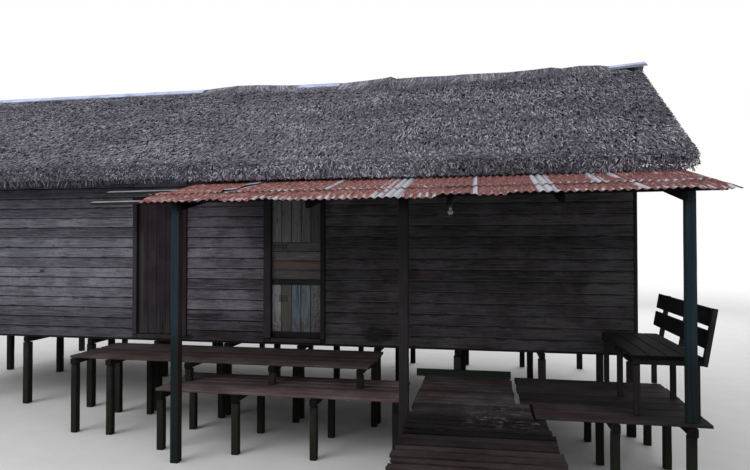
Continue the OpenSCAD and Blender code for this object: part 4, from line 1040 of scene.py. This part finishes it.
# Height of the ridge along the house, where leaves are folded over it between the sheets
RIDGE_LINE = np.array([
    (-1.310, 4.904), (-1.10, 4.922), (-0.72, 4.948), (-0.35, 4.944), (0.13, 4.914), (0.384, 4.908),
    (1.074, 4.904), (1.15, 4.902), (1.55, 4.928), (1.80, 4.948), (1.909, 4.966), (2.006, 4.930),
    (2.42, 4.940), (2.80, 4.934), (3.10, 4.944), (3.73, 4.940), (4.10, 4.958), (4.40, 4.980),
    (4.55, 4.957), (4.81, 4.982), (5.10, 4.972), (5.24, 4.950),
])
CAP_SPANS = [(-1.298, 0.382), (1.076, 5.243)]
STRAND_SPANS = [(-1.305, 0.384), (1.074, 5.40)]
# Slope that the folded leaves cover, and slope that the wings of the ridge sheets cover
CAP_RUN = CAP_WING / COS - THATCH_T * TAN
SHEETED_RUN = 0.125
# Planes that the leaves stay inside of
LEAF_X = VERGE_X - 0.002
LEAF_Y = EAVE_Y - 0.001
LEAF_Z = cad_box[1].z - 0.002
# Humps of the leaves' upper edge under the sheets: height, pace and start of each wave
HUMPS = [(0.030, 3.1, 1.0), (0.022, 7.3, 0.0), (0.014, 17.0, 2.0)]
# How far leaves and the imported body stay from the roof's ends, and the body's spacing of sections
EDGE_GAP = 0.02
BODY_GAP = 0.03
BODY_STEP = 0.0757


def ridge_line(x):
    return np.interp(x, RIDGE_LINE[:, 0], RIDGE_LINE[:, 1])


def capped(x):
    """Where leaves are folded over the ridge."""
    return np.any([(x > low) & (x < high) for low, high in CAP_SPANS], axis=0)


def sheeted(x):
    """Where a ridge sheet lies low on the thatch: the long one at the left and the short one."""
    return (x < -1.30) | ((x > 0.38) & (x < 1.08))


def cap_height(x):
    """Top of the folded leaves over the thatch's underside, square to the slope."""
    top = RIDGE_Z + CAP_T / COS
    return THATCH_T + CAP_T - (top - np.minimum(top - 0.004, ridge_line(x) - 0.014)) * COS


def add_slab(pile, xs, s, h, side):
    """A closed slab of stations along the roof from outlines of slope and height."""
    points = slope_point(np.repeat(xs[:, None], s.shape[1], 1), s, h, side)
    faces = ring_faces(s.shape[1], len(xs))
    if side < 0:
        faces = [[tuple(reversed(f)) for f in group] for group in faces]
    pile.add(points, faces)


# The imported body: its upper and under side, and how uneven its bundles and the folded leaves are
BODY_TOP = THATCH_T - 0.008
BODY_LOW = 0.004
BUNDLE_DEPTH = 0.014
BUNDLE_SHIFT = 0.012
FOLD_DEPTH = 0.010


def thatch_body_mesh(name, cad, side, seed):
    """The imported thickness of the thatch: stepped courses with uneven bundles, and the folded ridge."""
    pile = Pile(seed)
    rng = pile.rng
    profile = [(-BODY_TOP * TAN, BODY_TOP, 0.3)]
    for i in range(COURSES):
        for part in (0.0, 0.35, 0.7, 1.0):
            profile.append((i * COURSE + part * COURSE, BODY_TOP - COURSE_STEP * (1 - part), 1.0))
    s_end = COURSE_RUN - BODY_GAP
    profile = [(min(s, s_end - 0.05), h, loose) for s, h, loose in profile]
    profile += [(s_end - 0.01, BODY_TOP - 0.022, 0.8), (s_end, 0.06, 0.6), (s_end + 0.02, 0.03, 0.3)]
    profile += [(s_end + BODY_GAP, BODY_LOW, 0.0), (1.5, BODY_LOW, 0.0), (-BODY_LOW * TAN, BODY_LOW, 0.0)]
    s, h, loose = (np.array(column) for column in zip(*profile))
    xs = np.arange(-VERGE_X + BODY_GAP, VERGE_X - BODY_GAP + 1e-6, BODY_STEP)
    bumps = rng.uniform(0, 1, (len(xs), len(s)))
    bumps = (bumps + np.roll(bumps, 1, 0)) / 2
    height = h[None] - BUNDLE_DEPTH * loose * bumps
    run = s[None] + BUNDLE_SHIFT * loose * (rng.uniform(0, 1, (len(xs), len(s))) - 0.5)
    run = np.minimum(run, s_end + BODY_GAP)
    run[:, 0] = -height[:, 0] * TAN
    add_slab(pile, xs, run, height, side)
    for x0, x1 in CAP_SPANS:
        xs = np.linspace(x0, x1, int((x1 - x0) / 0.05) + 2)
        full = cap_height(xs)[:, None] - FOLD_DEPTH * rng.uniform(0, 1, (len(xs), 6))
        parts = np.array([0.0, 0.0, 0.35, 0.7, 1.0, 1.0])
        over = np.array([0.0, 1.0, 1.0, 1.0, 0.85, 0.0])
        h = (THATCH_T - 0.03) * (1 - over) + full * over
        s = (CAP_WING - 0.025) / COS * parts - h * TAN
        add_slab(pile, xs, s, h, side)
    pile.build(name, "thatch", replaces=(cad,))


def add_strips(pile, lines, widths, across):
    """Flat leaves: lines is (n, stations, 3), widths (n, stations), across the leaves' own widths."""
    count, stations, _ = lines.shape
    half = widths[..., None] / 2 * across[:, None, :]
    points = np.stack([lines - half, lines + half], axis=2)
    points[..., 0] = np.clip(points[..., 0], -LEAF_X, LEAF_X)
    points[..., 1] = np.minimum(points[..., 1], LEAF_Y)
    points[..., 2] = np.minimum(points[..., 2], LEAF_Z)
    first = np.arange(count)[:, None] * stations * 2 + np.arange(stations - 1)[None] * 2
    first = first.ravel()
    quads = np.column_stack([first, first + 1, first + 3, first + 2])
    pile.add(points, (quads,))


def rolled(rng, count, spread, up, way=X_AXIS):
    """Directions across leaves, turned at random about their lines."""
    roll = rng.uniform(-spread, spread, count)[:, None]
    return way * np.cos(roll) + up * np.sin(roll)


def foreshortened(x):
    """How much shorter the slope looks than its width, from the front of the right half."""
    return np.hypot(0.38, 0.10 * (x - 3.4))


# A short leaf's length and width, how far it lies off its surface, its tip's rise and its tilt
LEAF_LENGTH = (0.022, 0.056)
LEAF_WIDTH = (0.007, 0.015)
LEAF_LIFT = (-0.004, 0.010)
LEAF_RISE = (0.0, 0.014)
LEAF_TILT = (-0.004, 0.004)
# Its corners along and across, narrower at the tip
LEAF_CORNERS = [(-0.5, -0.5), (-0.5, 0.5), (0.5, 0.32), (0.5, -0.32)]


def speckle(pile, x, s, surface, long_scale, size):
    """Short flat leaves that lie every way on a surface given as a function of x, s and height."""
    rng = pile.rng
    count = len(x)
    angle = rng.normal(math.pi / 2, 0.70, count)
    length = rng.uniform(*LEAF_LENGTH, count) * size
    width = rng.uniform(*LEAF_WIDTH, count)
    long_x, long_s = length * np.cos(angle), length * np.sin(angle) * long_scale
    wide_x, wide_s = -width * np.sin(angle), width * np.cos(angle) * long_scale
    lift = rng.uniform(*LEAF_LIFT, count)
    tip = lift + rng.uniform(*LEAF_RISE, count)
    tilt = rng.uniform(*LEAF_TILT, count)
    corners = []
    for along, across in LEAF_CORNERS:
        corner_x = np.clip(x + along * long_x + across * wide_x, 0.004 - VERGE_X, VERGE_X - 0.004)
        corner_s = s + along * long_s + across * wide_s
        height = (lift if along < 0 else tip) + np.sign(across) * tilt
        corners.append(surface(corner_x, corner_s, height))
    points = np.stack(corners, axis=1)
    points[..., 1] = np.minimum(points[..., 1], LEAF_Y)
    quads = np.arange(count)[:, None] * 4 + np.arange(4)[None]
    pile.add(points, (quads,))


def leaves(side, count, seed):
    """Short leaves on the whole slope, so dense that the courses hardly show."""
    pile = Pile(seed)
    rng = pile.rng
    x = rng.uniform(-VERGE_X + EDGE_GAP, VERGE_X - EDGE_GAP, 3 * count)
    x = x[rng.random(3 * count) * 1.05 < foreshortened(x)][:count]
    count = len(x)
    s = rng.uniform(-0.05, COURSE_RUN - 0.02, count)
    under_sheet = sheeted(x)
    hump = sum(height * np.sin(x * pace + start) for height, pace, start in HUMPS)
    first = SHEETED_RUN + 0.010 - 0.8 * hump
    s = np.where(under_sheet & (s < first + 0.05), first + rng.uniform(0.0, 0.20, count), s)

    def surface(x, s, up):
        s = np.minimum(s, COURSE_RUN - 0.004)
        over = np.where(capped(x), cap_height(x) - THATCH_T, np.where(under_sheet, 0.008, 0.0))
        over = over * np.clip((CAP_RUN - s) / 0.04, 0, 1)
        return slope_point(x, s, THATCH_T - 0.003 + up + over, side)

    speckle(pile, x, s, surface, 1 / foreshortened(x), 0.90)
    return pile


# Path of the leaves over the edge of the eave: how far along it, how far out and how high
EAVE_PATH = np.array([
    (0.00, -0.120, 3.331), (0.14, -0.030, 3.270), (0.22, 0.000, 3.215),
    (0.30, 0.002, 3.150), (0.38, -0.012, 3.092),
])
# Left end of the eave over the porch, and the height that its hanging leaves stay above
PORCH_EAVE = -0.35
PORCH_CLEAR = 3.050


def eave_leaves(name, side, count, seed):
    """Leaves that drape over the edge of the eave and hide its cut face."""
    pile = Pile(seed)
    path, outs, heights = EAVE_PATH.T
    x = pile.rng.uniform(-VERGE_X + EDGE_GAP, VERGE_X - EDGE_GAP, count)
    s = pile.rng.uniform(0.02, path[-1] - 0.01, count)

    def surface(x, s, up):
        """Ragged ends, lower at the left end of the eave and over the porch."""
        out = np.interp(s, path, outs) + up * 0.6
        past = np.maximum(s - path[-1], 0) * 1.2
        low = 0.010 * np.clip((-3.4 - x) / 1.2, 0, 1) + 0.034 * ((x > PORCH_EAVE) & (x < PORCH_RIGHT))
        low = low * np.clip((s - 0.25) / 0.1, 0, 1)
        z = np.interp(s, path, heights) + up * 0.5 - past - low
        return np.stack([x, side * (EAVE_Y + out), z], axis=-1)

    speckle(pile, x, s, surface, 1.0, 0.95)
    add_hanging_leaves(pile, side, count // 5)
    pile.build(name, "eave_leaves")


# Leaves that hang from the eave: how far behind its edge, their upper ends, their drop and width
HANG_BACK = (0.02, 0.09)
HANG_TOP = (3.10, 3.15)
HANG_DROP = (0.03, 0.10)
HANG_WIDTH = (0.006, 0.014)


def add_hanging_leaves(pile, side, count):
    """Leaves from under the edge of the eave, denser at its left end."""
    rng = pile.rng
    x = -VERGE_X + 0.05 + (2 * VERGE_X - 0.10) * rng.random(count) ** 1.5
    back = rng.uniform(*HANG_BACK, count)
    top = rng.uniform(*HANG_TOP, count)
    drop = rng.uniform(*HANG_DROP, count) * np.where(x < -1.6, 1.0, 0.75)
    sway = rng.normal(0, 0.5, count)
    drop = np.where((x > PORCH_EAVE) & (side < 0), np.minimum(drop, top - PORCH_CLEAR), drop)
    lines = np.stack([
        np.stack([x, side * (EAVE_Y - back), top], axis=-1),
        np.stack([x + sway * drop, side * (EAVE_Y - back), top - drop], axis=-1),
    ], axis=1)
    width = rng.uniform(*HANG_WIDTH, count)[:, None] * np.array([1.0, 0.4])
    add_strips(pile, lines, width, rolled(rng, count, 0.9, side * Y_AXIS))


# Leaf ends at the verges: how far inside they start, their length outwards, their drop and width
VERGE_START = (0.06, 0.14)
VERGE_REACH = (0.05, 0.13)
VERGE_DROP = (0.02, 0.16)
VERGE_WIDTH = (0.006, 0.016)


def add_verge_fringe(pile, side, count):
    """Leaf ends along the sloping edges at the two gables."""
    rng = pile.rng
    for end in (-1, 1):
        s0 = rng.uniform(-0.05, COURSE_RUN - 0.10, count)
        h = THATCH_T * (1.06 - 1.0 * rng.random(count) ** 1.5)
        x0 = end * (VERGE_X - rng.uniform(*VERGE_START, count))
        reach = rng.uniform(*VERGE_REACH, count)
        drop = rng.uniform(*VERGE_DROP, count)
        t = np.array([0.0, 0.6, 1.0])
        x = x0[:, None] + end * reach[:, None] * t
        s = np.minimum(s0[:, None] + drop[:, None] * t, COURSE_RUN - 0.006)
        sunk = h[:, None] - 0.02 * t ** 2 * rng.random(count)[:, None]
        lines = slope_point(x, s, sunk, side)
        width = rng.uniform(*VERGE_WIDTH, count)[:, None] * np.array([0.8, 1.0, 0.35])
        up = np.array([0, side * SIN, COS])
        add_strips(pile, lines, width, rolled(rng, count, 1.2, up, np.array([0, side * COS, -SIN])))


# Strands over the ridge: their length on each side, where they are longer and by how much, and width
STRAND_REACH = (0.10, 0.26)
LONG_STRANDS = ([0.5, 1.1, 2.6, 3.2], [0.0, 0.2, 0.2, 0.0])
STRAND_WIDTH = (0.007, 0.018)


def add_ridge_strands(pile, rate):
    """Strands folded over the ridge where no sheet covers it."""
    rng = pile.rng
    for x0, x1 in STRAND_SPANS:
        count = int((x1 - x0) * rate)
        x = rng.uniform(x0, x1, count)
        apex = ridge_line(x) - 0.020 * rng.random(count) ** 2
        sway = rng.normal(0, 0.09, count)
        reach = rng.uniform(*STRAND_REACH, count)
        reach = reach + np.interp(x, *LONG_STRANDS) * rng.random(count)
        parts = []
        for side, shares in ((-1, (1.0, 0.5)), (1, (0.5, 1.0))):
            legs = []
            for share in shares:
                s = reach * share
                surface = np.where(s < CAP_RUN, cap_height(x), THATCH_T) + 0.007
                legs.append(slope_point(x + sway * share * side, s, surface, side))
            fold = np.stack([x, np.full(count, side * 0.016), apex], axis=-1)
            parts += [*legs, fold] if side < 0 else [fold, *legs]
        lines = np.stack(parts, axis=1)
        width = rng.uniform(*STRAND_WIDTH, count)[:, None] * np.array([0.4, 1.0, 0.9, 0.9, 1.0, 0.4])
        add_strips(pile, lines, width, rolled(rng, count, 0.5, Z_AXIS))


thatch_body_mesh("front_thatch_body", "front_thatch", -1, 51)
thatch_body_mesh("back_thatch_body", "back_thatch", 1, 52)
for side, name, count, seed in ((-1, "front", 96000, 53), (1, "back", 60000, 54)):
    leaves(side, count, seed).build(name + "_thatch_leaves", "front_leaves")
    fringe = Pile(seed + 2)
    add_verge_fringe(fringe, side, 1500)
    fringe.build(name + "_verge_leaves", "front_leaves")
    eave_leaves(name + "_eave_leaves", side, 20000, seed + 4)
ridge = Pile(59)
add_ridge_strands(ridge, 700)
ridge.build("ridge_strands", "ridge_leaves")


# Corrugated porch roof
PORCH_MID = (PORCH_RIGHT + PORCH_LEFT) / 2
PORCH_TILT = math.atan(PORCH_RISE / (PORCH_RIGHT - PORCH_LEFT))
# A sheet: its rest above the frame, its thickness, how it lies on its neighbour, and its spacing of rows
SHEET_REST = 0.0006
SHEET_T = 0.0008
LAP_LIFT = 0.0016
SIDE_LAP = CORRUGATION
SHEET_STEP = 0.06
# How far the bent edge, the drooping edge and the raised side reach, and the raised side's folded rim
BEND_REACH = 0.07
DROOP_REACH = 0.12
RAISED_REACH = 0.12
FOLD = 0.012
# How deep the bent edge and the dents are, how high a side rises by itself, and how far a sheet has
# slipped and turned
BEND_DEPTH = 0.008
DENT_DEPTH = 0.0022
SIDE_RISE = 0.006
SLIPPED = 0.014
SKEWED = 0.012


def porch_point(x, s, h):
    """A point of the porch roof: x from its middle, s up the slope, h square to it."""
    y = -PORCH_FRONT + s * math.cos(PORCH_PITCH) - h * math.sin(PORCH_PITCH)
    z = s * math.sin(PORCH_PITCH) + h * math.cos(PORCH_PITCH)
    east = PORCH_MID + x * math.cos(PORCH_TILT) - z * math.sin(PORCH_TILT)
    up = PORCH_FRONT_Z + x * math.sin(PORCH_TILT) + z * math.cos(PORCH_TILT)
    return np.stack(np.broadcast_arrays(east, y, up), axis=-1)


# The sheets' edges as places along the front, by slope where an edge runs askew
UPPER_SEAMS = [
    [(0.56, -0.345), (0.90, -0.205)], [(0.56, 0.50), (1.88, 0.69)], 1.67, 2.53, 3.27, 3.97,
    [(0.56, 4.83), (1.88, 4.69)], 5.56,
]
LOWER_SEAMS = [[(0.0, -0.114), (0.30, -0.205)], 0.62, 1.18, 2.02, 2.93, 3.30, 3.93, 4.83, 5.56]
# Front edge from the left: place, how far it stops short and how far it droops, in metres
FRONT_EDGE = np.array([
    (-0.30, 0.000, 0.004), (0.50, 0.000, 0.006), (0.57, 0.070, 0.004), (0.74, 0.070, 0.004),
    (0.80, 0.000, 0.014), (1.05, 0.000, 0.016), (1.19, 0.050, 0.002), (1.27, 0.050, 0.002),
    (1.32, 0.000, 0.010), (1.50, 0.000, 0.018), (2.20, 0.000, 0.020), (2.50, 0.000, 0.014),
    (2.70, 0.000, 0.028), (2.93, 0.000, 0.032), (2.955, 0.034, 0.000), (3.27, 0.034, 0.000),
    (3.32, 0.000, 0.016), (3.57, 0.000, 0.016), (3.63, 0.034, 0.000), (3.92, 0.045, 0.000),
    (3.97, 0.000, 0.000), (4.82, 0.000, 0.000), (5.02, 0.040, 0.000), (5.19, 0.070, 0.000),
    (5.26, 0.000, 0.012), (5.40, 0.000, 0.020), (5.56, 0.000, 0.004),
])
# Bare zinc: place at the upper and lower end, half width, strength and the slope it spans
ZINC_STRIPS = [
    (0.757, 0.567, 0.024, 0.65, 0.56, 1.88), (1.725, 1.725, 0.020, 0.26, 0.56, 1.88),
    (2.53, 2.53, 0.068, 0.42, 0.0, 1.88), (2.38, 2.38, 0.075, 0.16, 0.0, 1.88),
    (3.275, 3.300, 0.020, 0.55, 0.0, 1.88), (3.965, 3.965, 0.085, 0.40, 0.0, 1.88),
    (4.515, 4.515, 0.065, 0.22, 0.56, 1.88), (4.68, 4.83, 0.020, 0.42, 0.0, 1.88),
    (4.90, 4.90, 0.32, 0.26, 0.56, 0.61),
]
# Bare zinc and painted highlights on the crests along the front edge: from, to and strength
FRONT_ZINC_AND_HIGHLIGHTS = [
    (-0.30, 0.55, 0.11), (0.55, 1.10, 0.15), (1.10, 1.40, 0.46), (1.40, 1.82, 0.20), (1.82, 2.07, 0.32),
    (2.07, 2.60, 0.19), (2.60, 2.95, 0.20), (2.95, 3.28, 0.15), (3.28, 4.0, 0.11), (4.0, 5.56, 0.24),
]
ZINC_EDGE = 0.012
# How far bare zinc and the crests' painted highlights reach from the lower edges of the two courses
LOWER_BARE_AND_LIT = 0.17
UPPER_BARE_AND_LIT = 0.13


def zinc_value(x, s, crest, share):
    """How bare the zinc is, from the strips, the front edge and the sheet's own share; at the lower edges it
    carries painted highlights on the crests.
    """
    value = np.full(x.shape, share)
    for top, bottom, half, strength, low, high in ZINC_STRIPS:
        middle = bottom + (top - bottom) * (s - low) / (high - low)
        inside = np.clip((half - np.abs(x - middle)) / ZINC_EDGE + 0.5, 0, 1)
        value = value + strength * inside * ((s >= low - 0.01) & (s <= high + 0.01))
    for x0, x1, strength in FRONT_ZINC_AND_HIGHLIGHTS:
        inside = ((x >= x0) & (x < x1)) * (0.30 + 0.90 * crest)
        value = value + inside * strength * np.exp(-(s / LOWER_BARE_AND_LIT) ** 2)
        if s.min() > UPPER_COURSE[0]:
            value = value + inside * strength * 0.8 * np.exp(-((s - UPPER_COURSE[0]) / UPPER_BARE_AND_LIT) ** 2)
    return value


def edge_place(seam, s):
    """Where a seam is along the front, at a slope."""
    if isinstance(seam, float):
        return np.full_like(s, seam)
    slopes, places = zip(*seam)
    return np.interp(s, slopes, places)


def add_sheet(pile, seams, index, course, lift, zinc, curl, raised):
    """One bent corrugated sheet, closed all round."""
    rng = pile.rng
    low, high = course
    t = np.linspace(0, 1, int(round((high - low) / SHEET_STEP)) + 1)[:, None]
    run = low + (high - low) * t
    last = index == len(seams) - 2
    left = edge_place(seams[index], run)
    right = edge_place(seams[index + 1], run) + (0 if last else SIDE_LAP)
    columns = int(round(np.max(right - left) / (CORRUGATION / 10))) + 1
    part = np.linspace(0, 1, columns)[None]
    east = left + (right - left) * part
    x = east - PORCH_MID
    if low == 0:
        slip = np.interp(east, FRONT_EDGE[:, 0], FRONT_EDGE[:, 1])
        droop = np.interp(east, FRONT_EDGE[:, 0], FRONT_EDGE[:, 2])
    else:
        slip = np.full(east.shape, rng.uniform(0.0, SLIPPED))
        droop = np.zeros(east.shape)
    skew = rng.uniform(0.0, SKEWED) * part
    run = run + (slip + skew) * (1 - t)
    wave = CORRUGATION_DEPTH / 2 * (1 + np.sin(math.tau * x / CORRUGATION))
    crest = wave / CORRUGATION_DEPTH
    start = run - low
    bend = wobble(x * 2.2, rng, BEND_DEPTH) * np.exp(-start / BEND_REACH)
    sag = droop * np.exp(-(start / DROOP_REACH) ** 2)
    dents = DENT_DEPTH * np.sin(run * rng.uniform(7, 12) + rng.uniform(0, 6))
    dents = dents * np.sin(x * rng.uniform(6, 10) + 1)
    rising = np.clip((east - right + RAISED_REACH) / RAISED_REACH, 0, 1)
    side = rising ** 2 * (rng.uniform(0.0, SIDE_RISE) + raised)
    side = side - 0.35 * raised * np.clip((east - right + FOLD) / FOLD, 0, 1)
    top = curl * t ** 3 * (0.3 + 0.7 * part)
    h = wave + lift + bend - sag + np.maximum(dents, 0) + side + top + SHEET_REST
    grid = np.arange(h.size).reshape(h.shape)
    corners = (grid[:-1, :-1], grid[:-1, 1:], grid[1:, 1:], grid[1:, :-1])
    top_faces = np.column_stack([corner.ravel() for corner in corners])
    under_faces = top_faces[:, ::-1] + h.size
    loop = np.concatenate([grid[0, :-1], grid[:-1, -1], grid[-1, :0:-1], grid[:0:-1, 0]])
    after = np.roll(loop, -1)
    rim = np.column_stack([loop, loop + h.size, after + h.size, after])
    values = np.stack([zinc_value(east, run, crest, zinc), crest, run], axis=-1)
    grain = np.stack([x, run, h], axis=-1) + np.array([index * 3.7, lift * 900, 0])
    pile.add(
        np.stack([porch_point(x, run, h + SHEET_T), porch_point(x, run, h)]),
        (top_faces, under_faces, rim),
        sheet=np.stack([values] * 2),
        grain=np.stack([grain] * 2),
    )


# Each sheet from the left: its share of bare zinc, its curled upper edge and its raised side
LOWER_SHEETS = [(zinc, 0.0, 0.0) for zinc in (0.00, -0.04, -0.02, -0.02, -0.03, 0.00, -0.04, 0.00)]
UPPER_SHEETS = [
    (-0.05, 0.0, 0.034), (-0.03, 0.0, 0.006), (-0.03, 0.0, 0.0), (-0.02, 0.0, 0.0),
    (-0.05, 0.004, 0.0), (-0.02, 0.010, 0.008), (0.03, 0.016, 0.0),
]


def lay_course(name, cad, course, seams, sheets, lift, seed):
    """One course of the porch roof, each sheet lapped with the next."""
    pile = Pile(seed)
    for i, (zinc, curl, raised) in enumerate(sheets):
        add_sheet(pile, seams, i, course, lift + (i % 2) * LAP_LIFT, zinc, curl, raised)
    piece = pile.build(name, "rusted_iron", replaces=(cad,))
    for face in piece.data.polygons:
        face.use_smooth = True


lay_course("lower_porch_sheets", "porch_sheets_lower", LOWER_COURSE, LOWER_SEAMS, LOWER_SHEETS, 0.0, 61)
lay_course("upper_porch_sheets", "porch_sheets_upper", UPPER_COURSE, UPPER_SEAMS, UPPER_SHEETS,
           2 * LAP_LIFT, 62)


# CAD nodes that keep their own shape
for cad, material in (
    ("wall_plates", "inside_timber_x"),
    ("ridge_frame", "inside_timber_x"),
    ("ridge_sheets", "ridge_metal"),
    ("hinge_hooks", "hinge_iron"),
    ("left_door_straps", "hinge_iron"),
    ("right_door_straps", "hinge_iron"),
    ("lamp_holder", "lamp_plastic"),
    ("lamp_bulb", "bulb_glass"),
):
    nodes[cad].data.materials.clear()
    nodes[cad].data.materials.append(MATERIALS[material])


# Floor, background, lights and camera
FLOOR_HALF = 60.0
FLOOR_FADE = (9.0, 30.0)
FLOOR_BOUNCE = 0.30
SKY_LOW = 0.45
SKY_HIGH = 1.05
LIGHT_SIZE = 9.0
# The photograph: its width and focal length in pixels; and the camera's sensor, place and degrees
PHOTO_WIDTH = 750
PHOTO_FOCAL = 590
SENSOR = 36.0
CAMERA_PLACE = (3.383, -9.36, 2.257)
CAMERA_RISE = 0.97
CAMERA_TURN = 10.5


def make_floor():
    """A pale floor that turns white far out, and throws back less light than it shows."""
    s = Shade("floor")
    place = s.split(s.rest())
    radius = s.math("SQRT", s.total(s.math("POWER", place[0], 2.0), s.math("POWER", place[1], 2.0)))
    grit = s.noise(s.rest(), 3.0, detail=3.0)
    s.finish(s.ramp(grit, [(0.3, 0.66), (0.7, 0.70)]), 0.9)
    bounce = (FLOOR_BOUNCE, FLOOR_BOUNCE, FLOOR_BOUNCE, 1.0)
    white = s.node("ShaderNodeEmission").outputs["Emission"]
    dim = s.node("ShaderNodeBsdfDiffuse", {"Color": bounce}).outputs["BSDF"]
    shown = s.blend(s.fade(radius, *FLOOR_FADE), s.shader.outputs["BSDF"], white)
    s.fill(s.output.inputs, {"Surface": s.blend(s.seen_rays(), dim, shown)})
    corners = [(x * FLOOR_HALF, y * FLOOR_HALF, 0) for x, y in ((-1, -1), (1, -1), (1, 1), (-1, 1))]
    mesh = bpy.data.meshes.new("floor")
    mesh.from_pydata(corners, [], [(0, 1, 2, 3)])
    mesh.materials.append(s.material)
    floor = add_object("floor_of_stage", mesh)


def make_world():
    """White to the camera; to the object a soft sky, brighter overhead."""
    world = bpy.data.worlds.new("sky")
    bpy.context.scene.world = world
    world.use_nodes = True
    s = Nodes(world.node_tree)
    height = s.split(s.node("ShaderNodeTexCoord").outputs["Generated"])[2]
    level = s.node("ShaderNodeMapRange", {"Value": height, "To Min": SKY_LOW, "To Max": SKY_HIGH})
    strength = level.outputs["Result"]
    white = (1.0, 1.0, 1.0, 1.0)
    sky = s.node("ShaderNodeBackground", {"Color": white, "Strength": strength}).outputs[0]
    plain = s.node("ShaderNodeBackground", {"Color": white}).outputs[0]
    s.node("ShaderNodeOutputWorld", {"Surface": s.blend(s.seen_rays(), sky, plain)})


def add_area_light(name, place, target, power):
    """A square light that looks at a target."""
    data = bpy.data.lights.new(name, "AREA")
    data.size = LIGHT_SIZE
    data.energy = power
    lamp = add_object(name, data)
    lamp.location = place
    lamp.rotation_euler = (Vector(target) - Vector(place)).to_track_quat("-Z", "Y").to_euler()


def make_camera():
    """The photograph's view."""
    data = bpy.data.cameras.new("camera")
    data.sensor_width = SENSOR
    data.lens = PHOTO_FOCAL / PHOTO_WIDTH * SENSOR
    camera = add_object("camera", data)
    camera.location = CAMERA_PLACE
    camera.rotation_euler = (math.radians(90 + CAMERA_RISE), 0, math.radians(CAMERA_TURN))
    bpy.context.scene.camera = camera


make_floor()
make_world()
add_area_light("key", (-7.0, -13.0, 10.0), (0, -1, 2), 900.0)
add_area_light("back_fill", (6.0, 12.0, 8.0), (0, 1, 2), 600.0)
make_camera()
bpy.context.scene.view_settings.view_transform = "Standard"
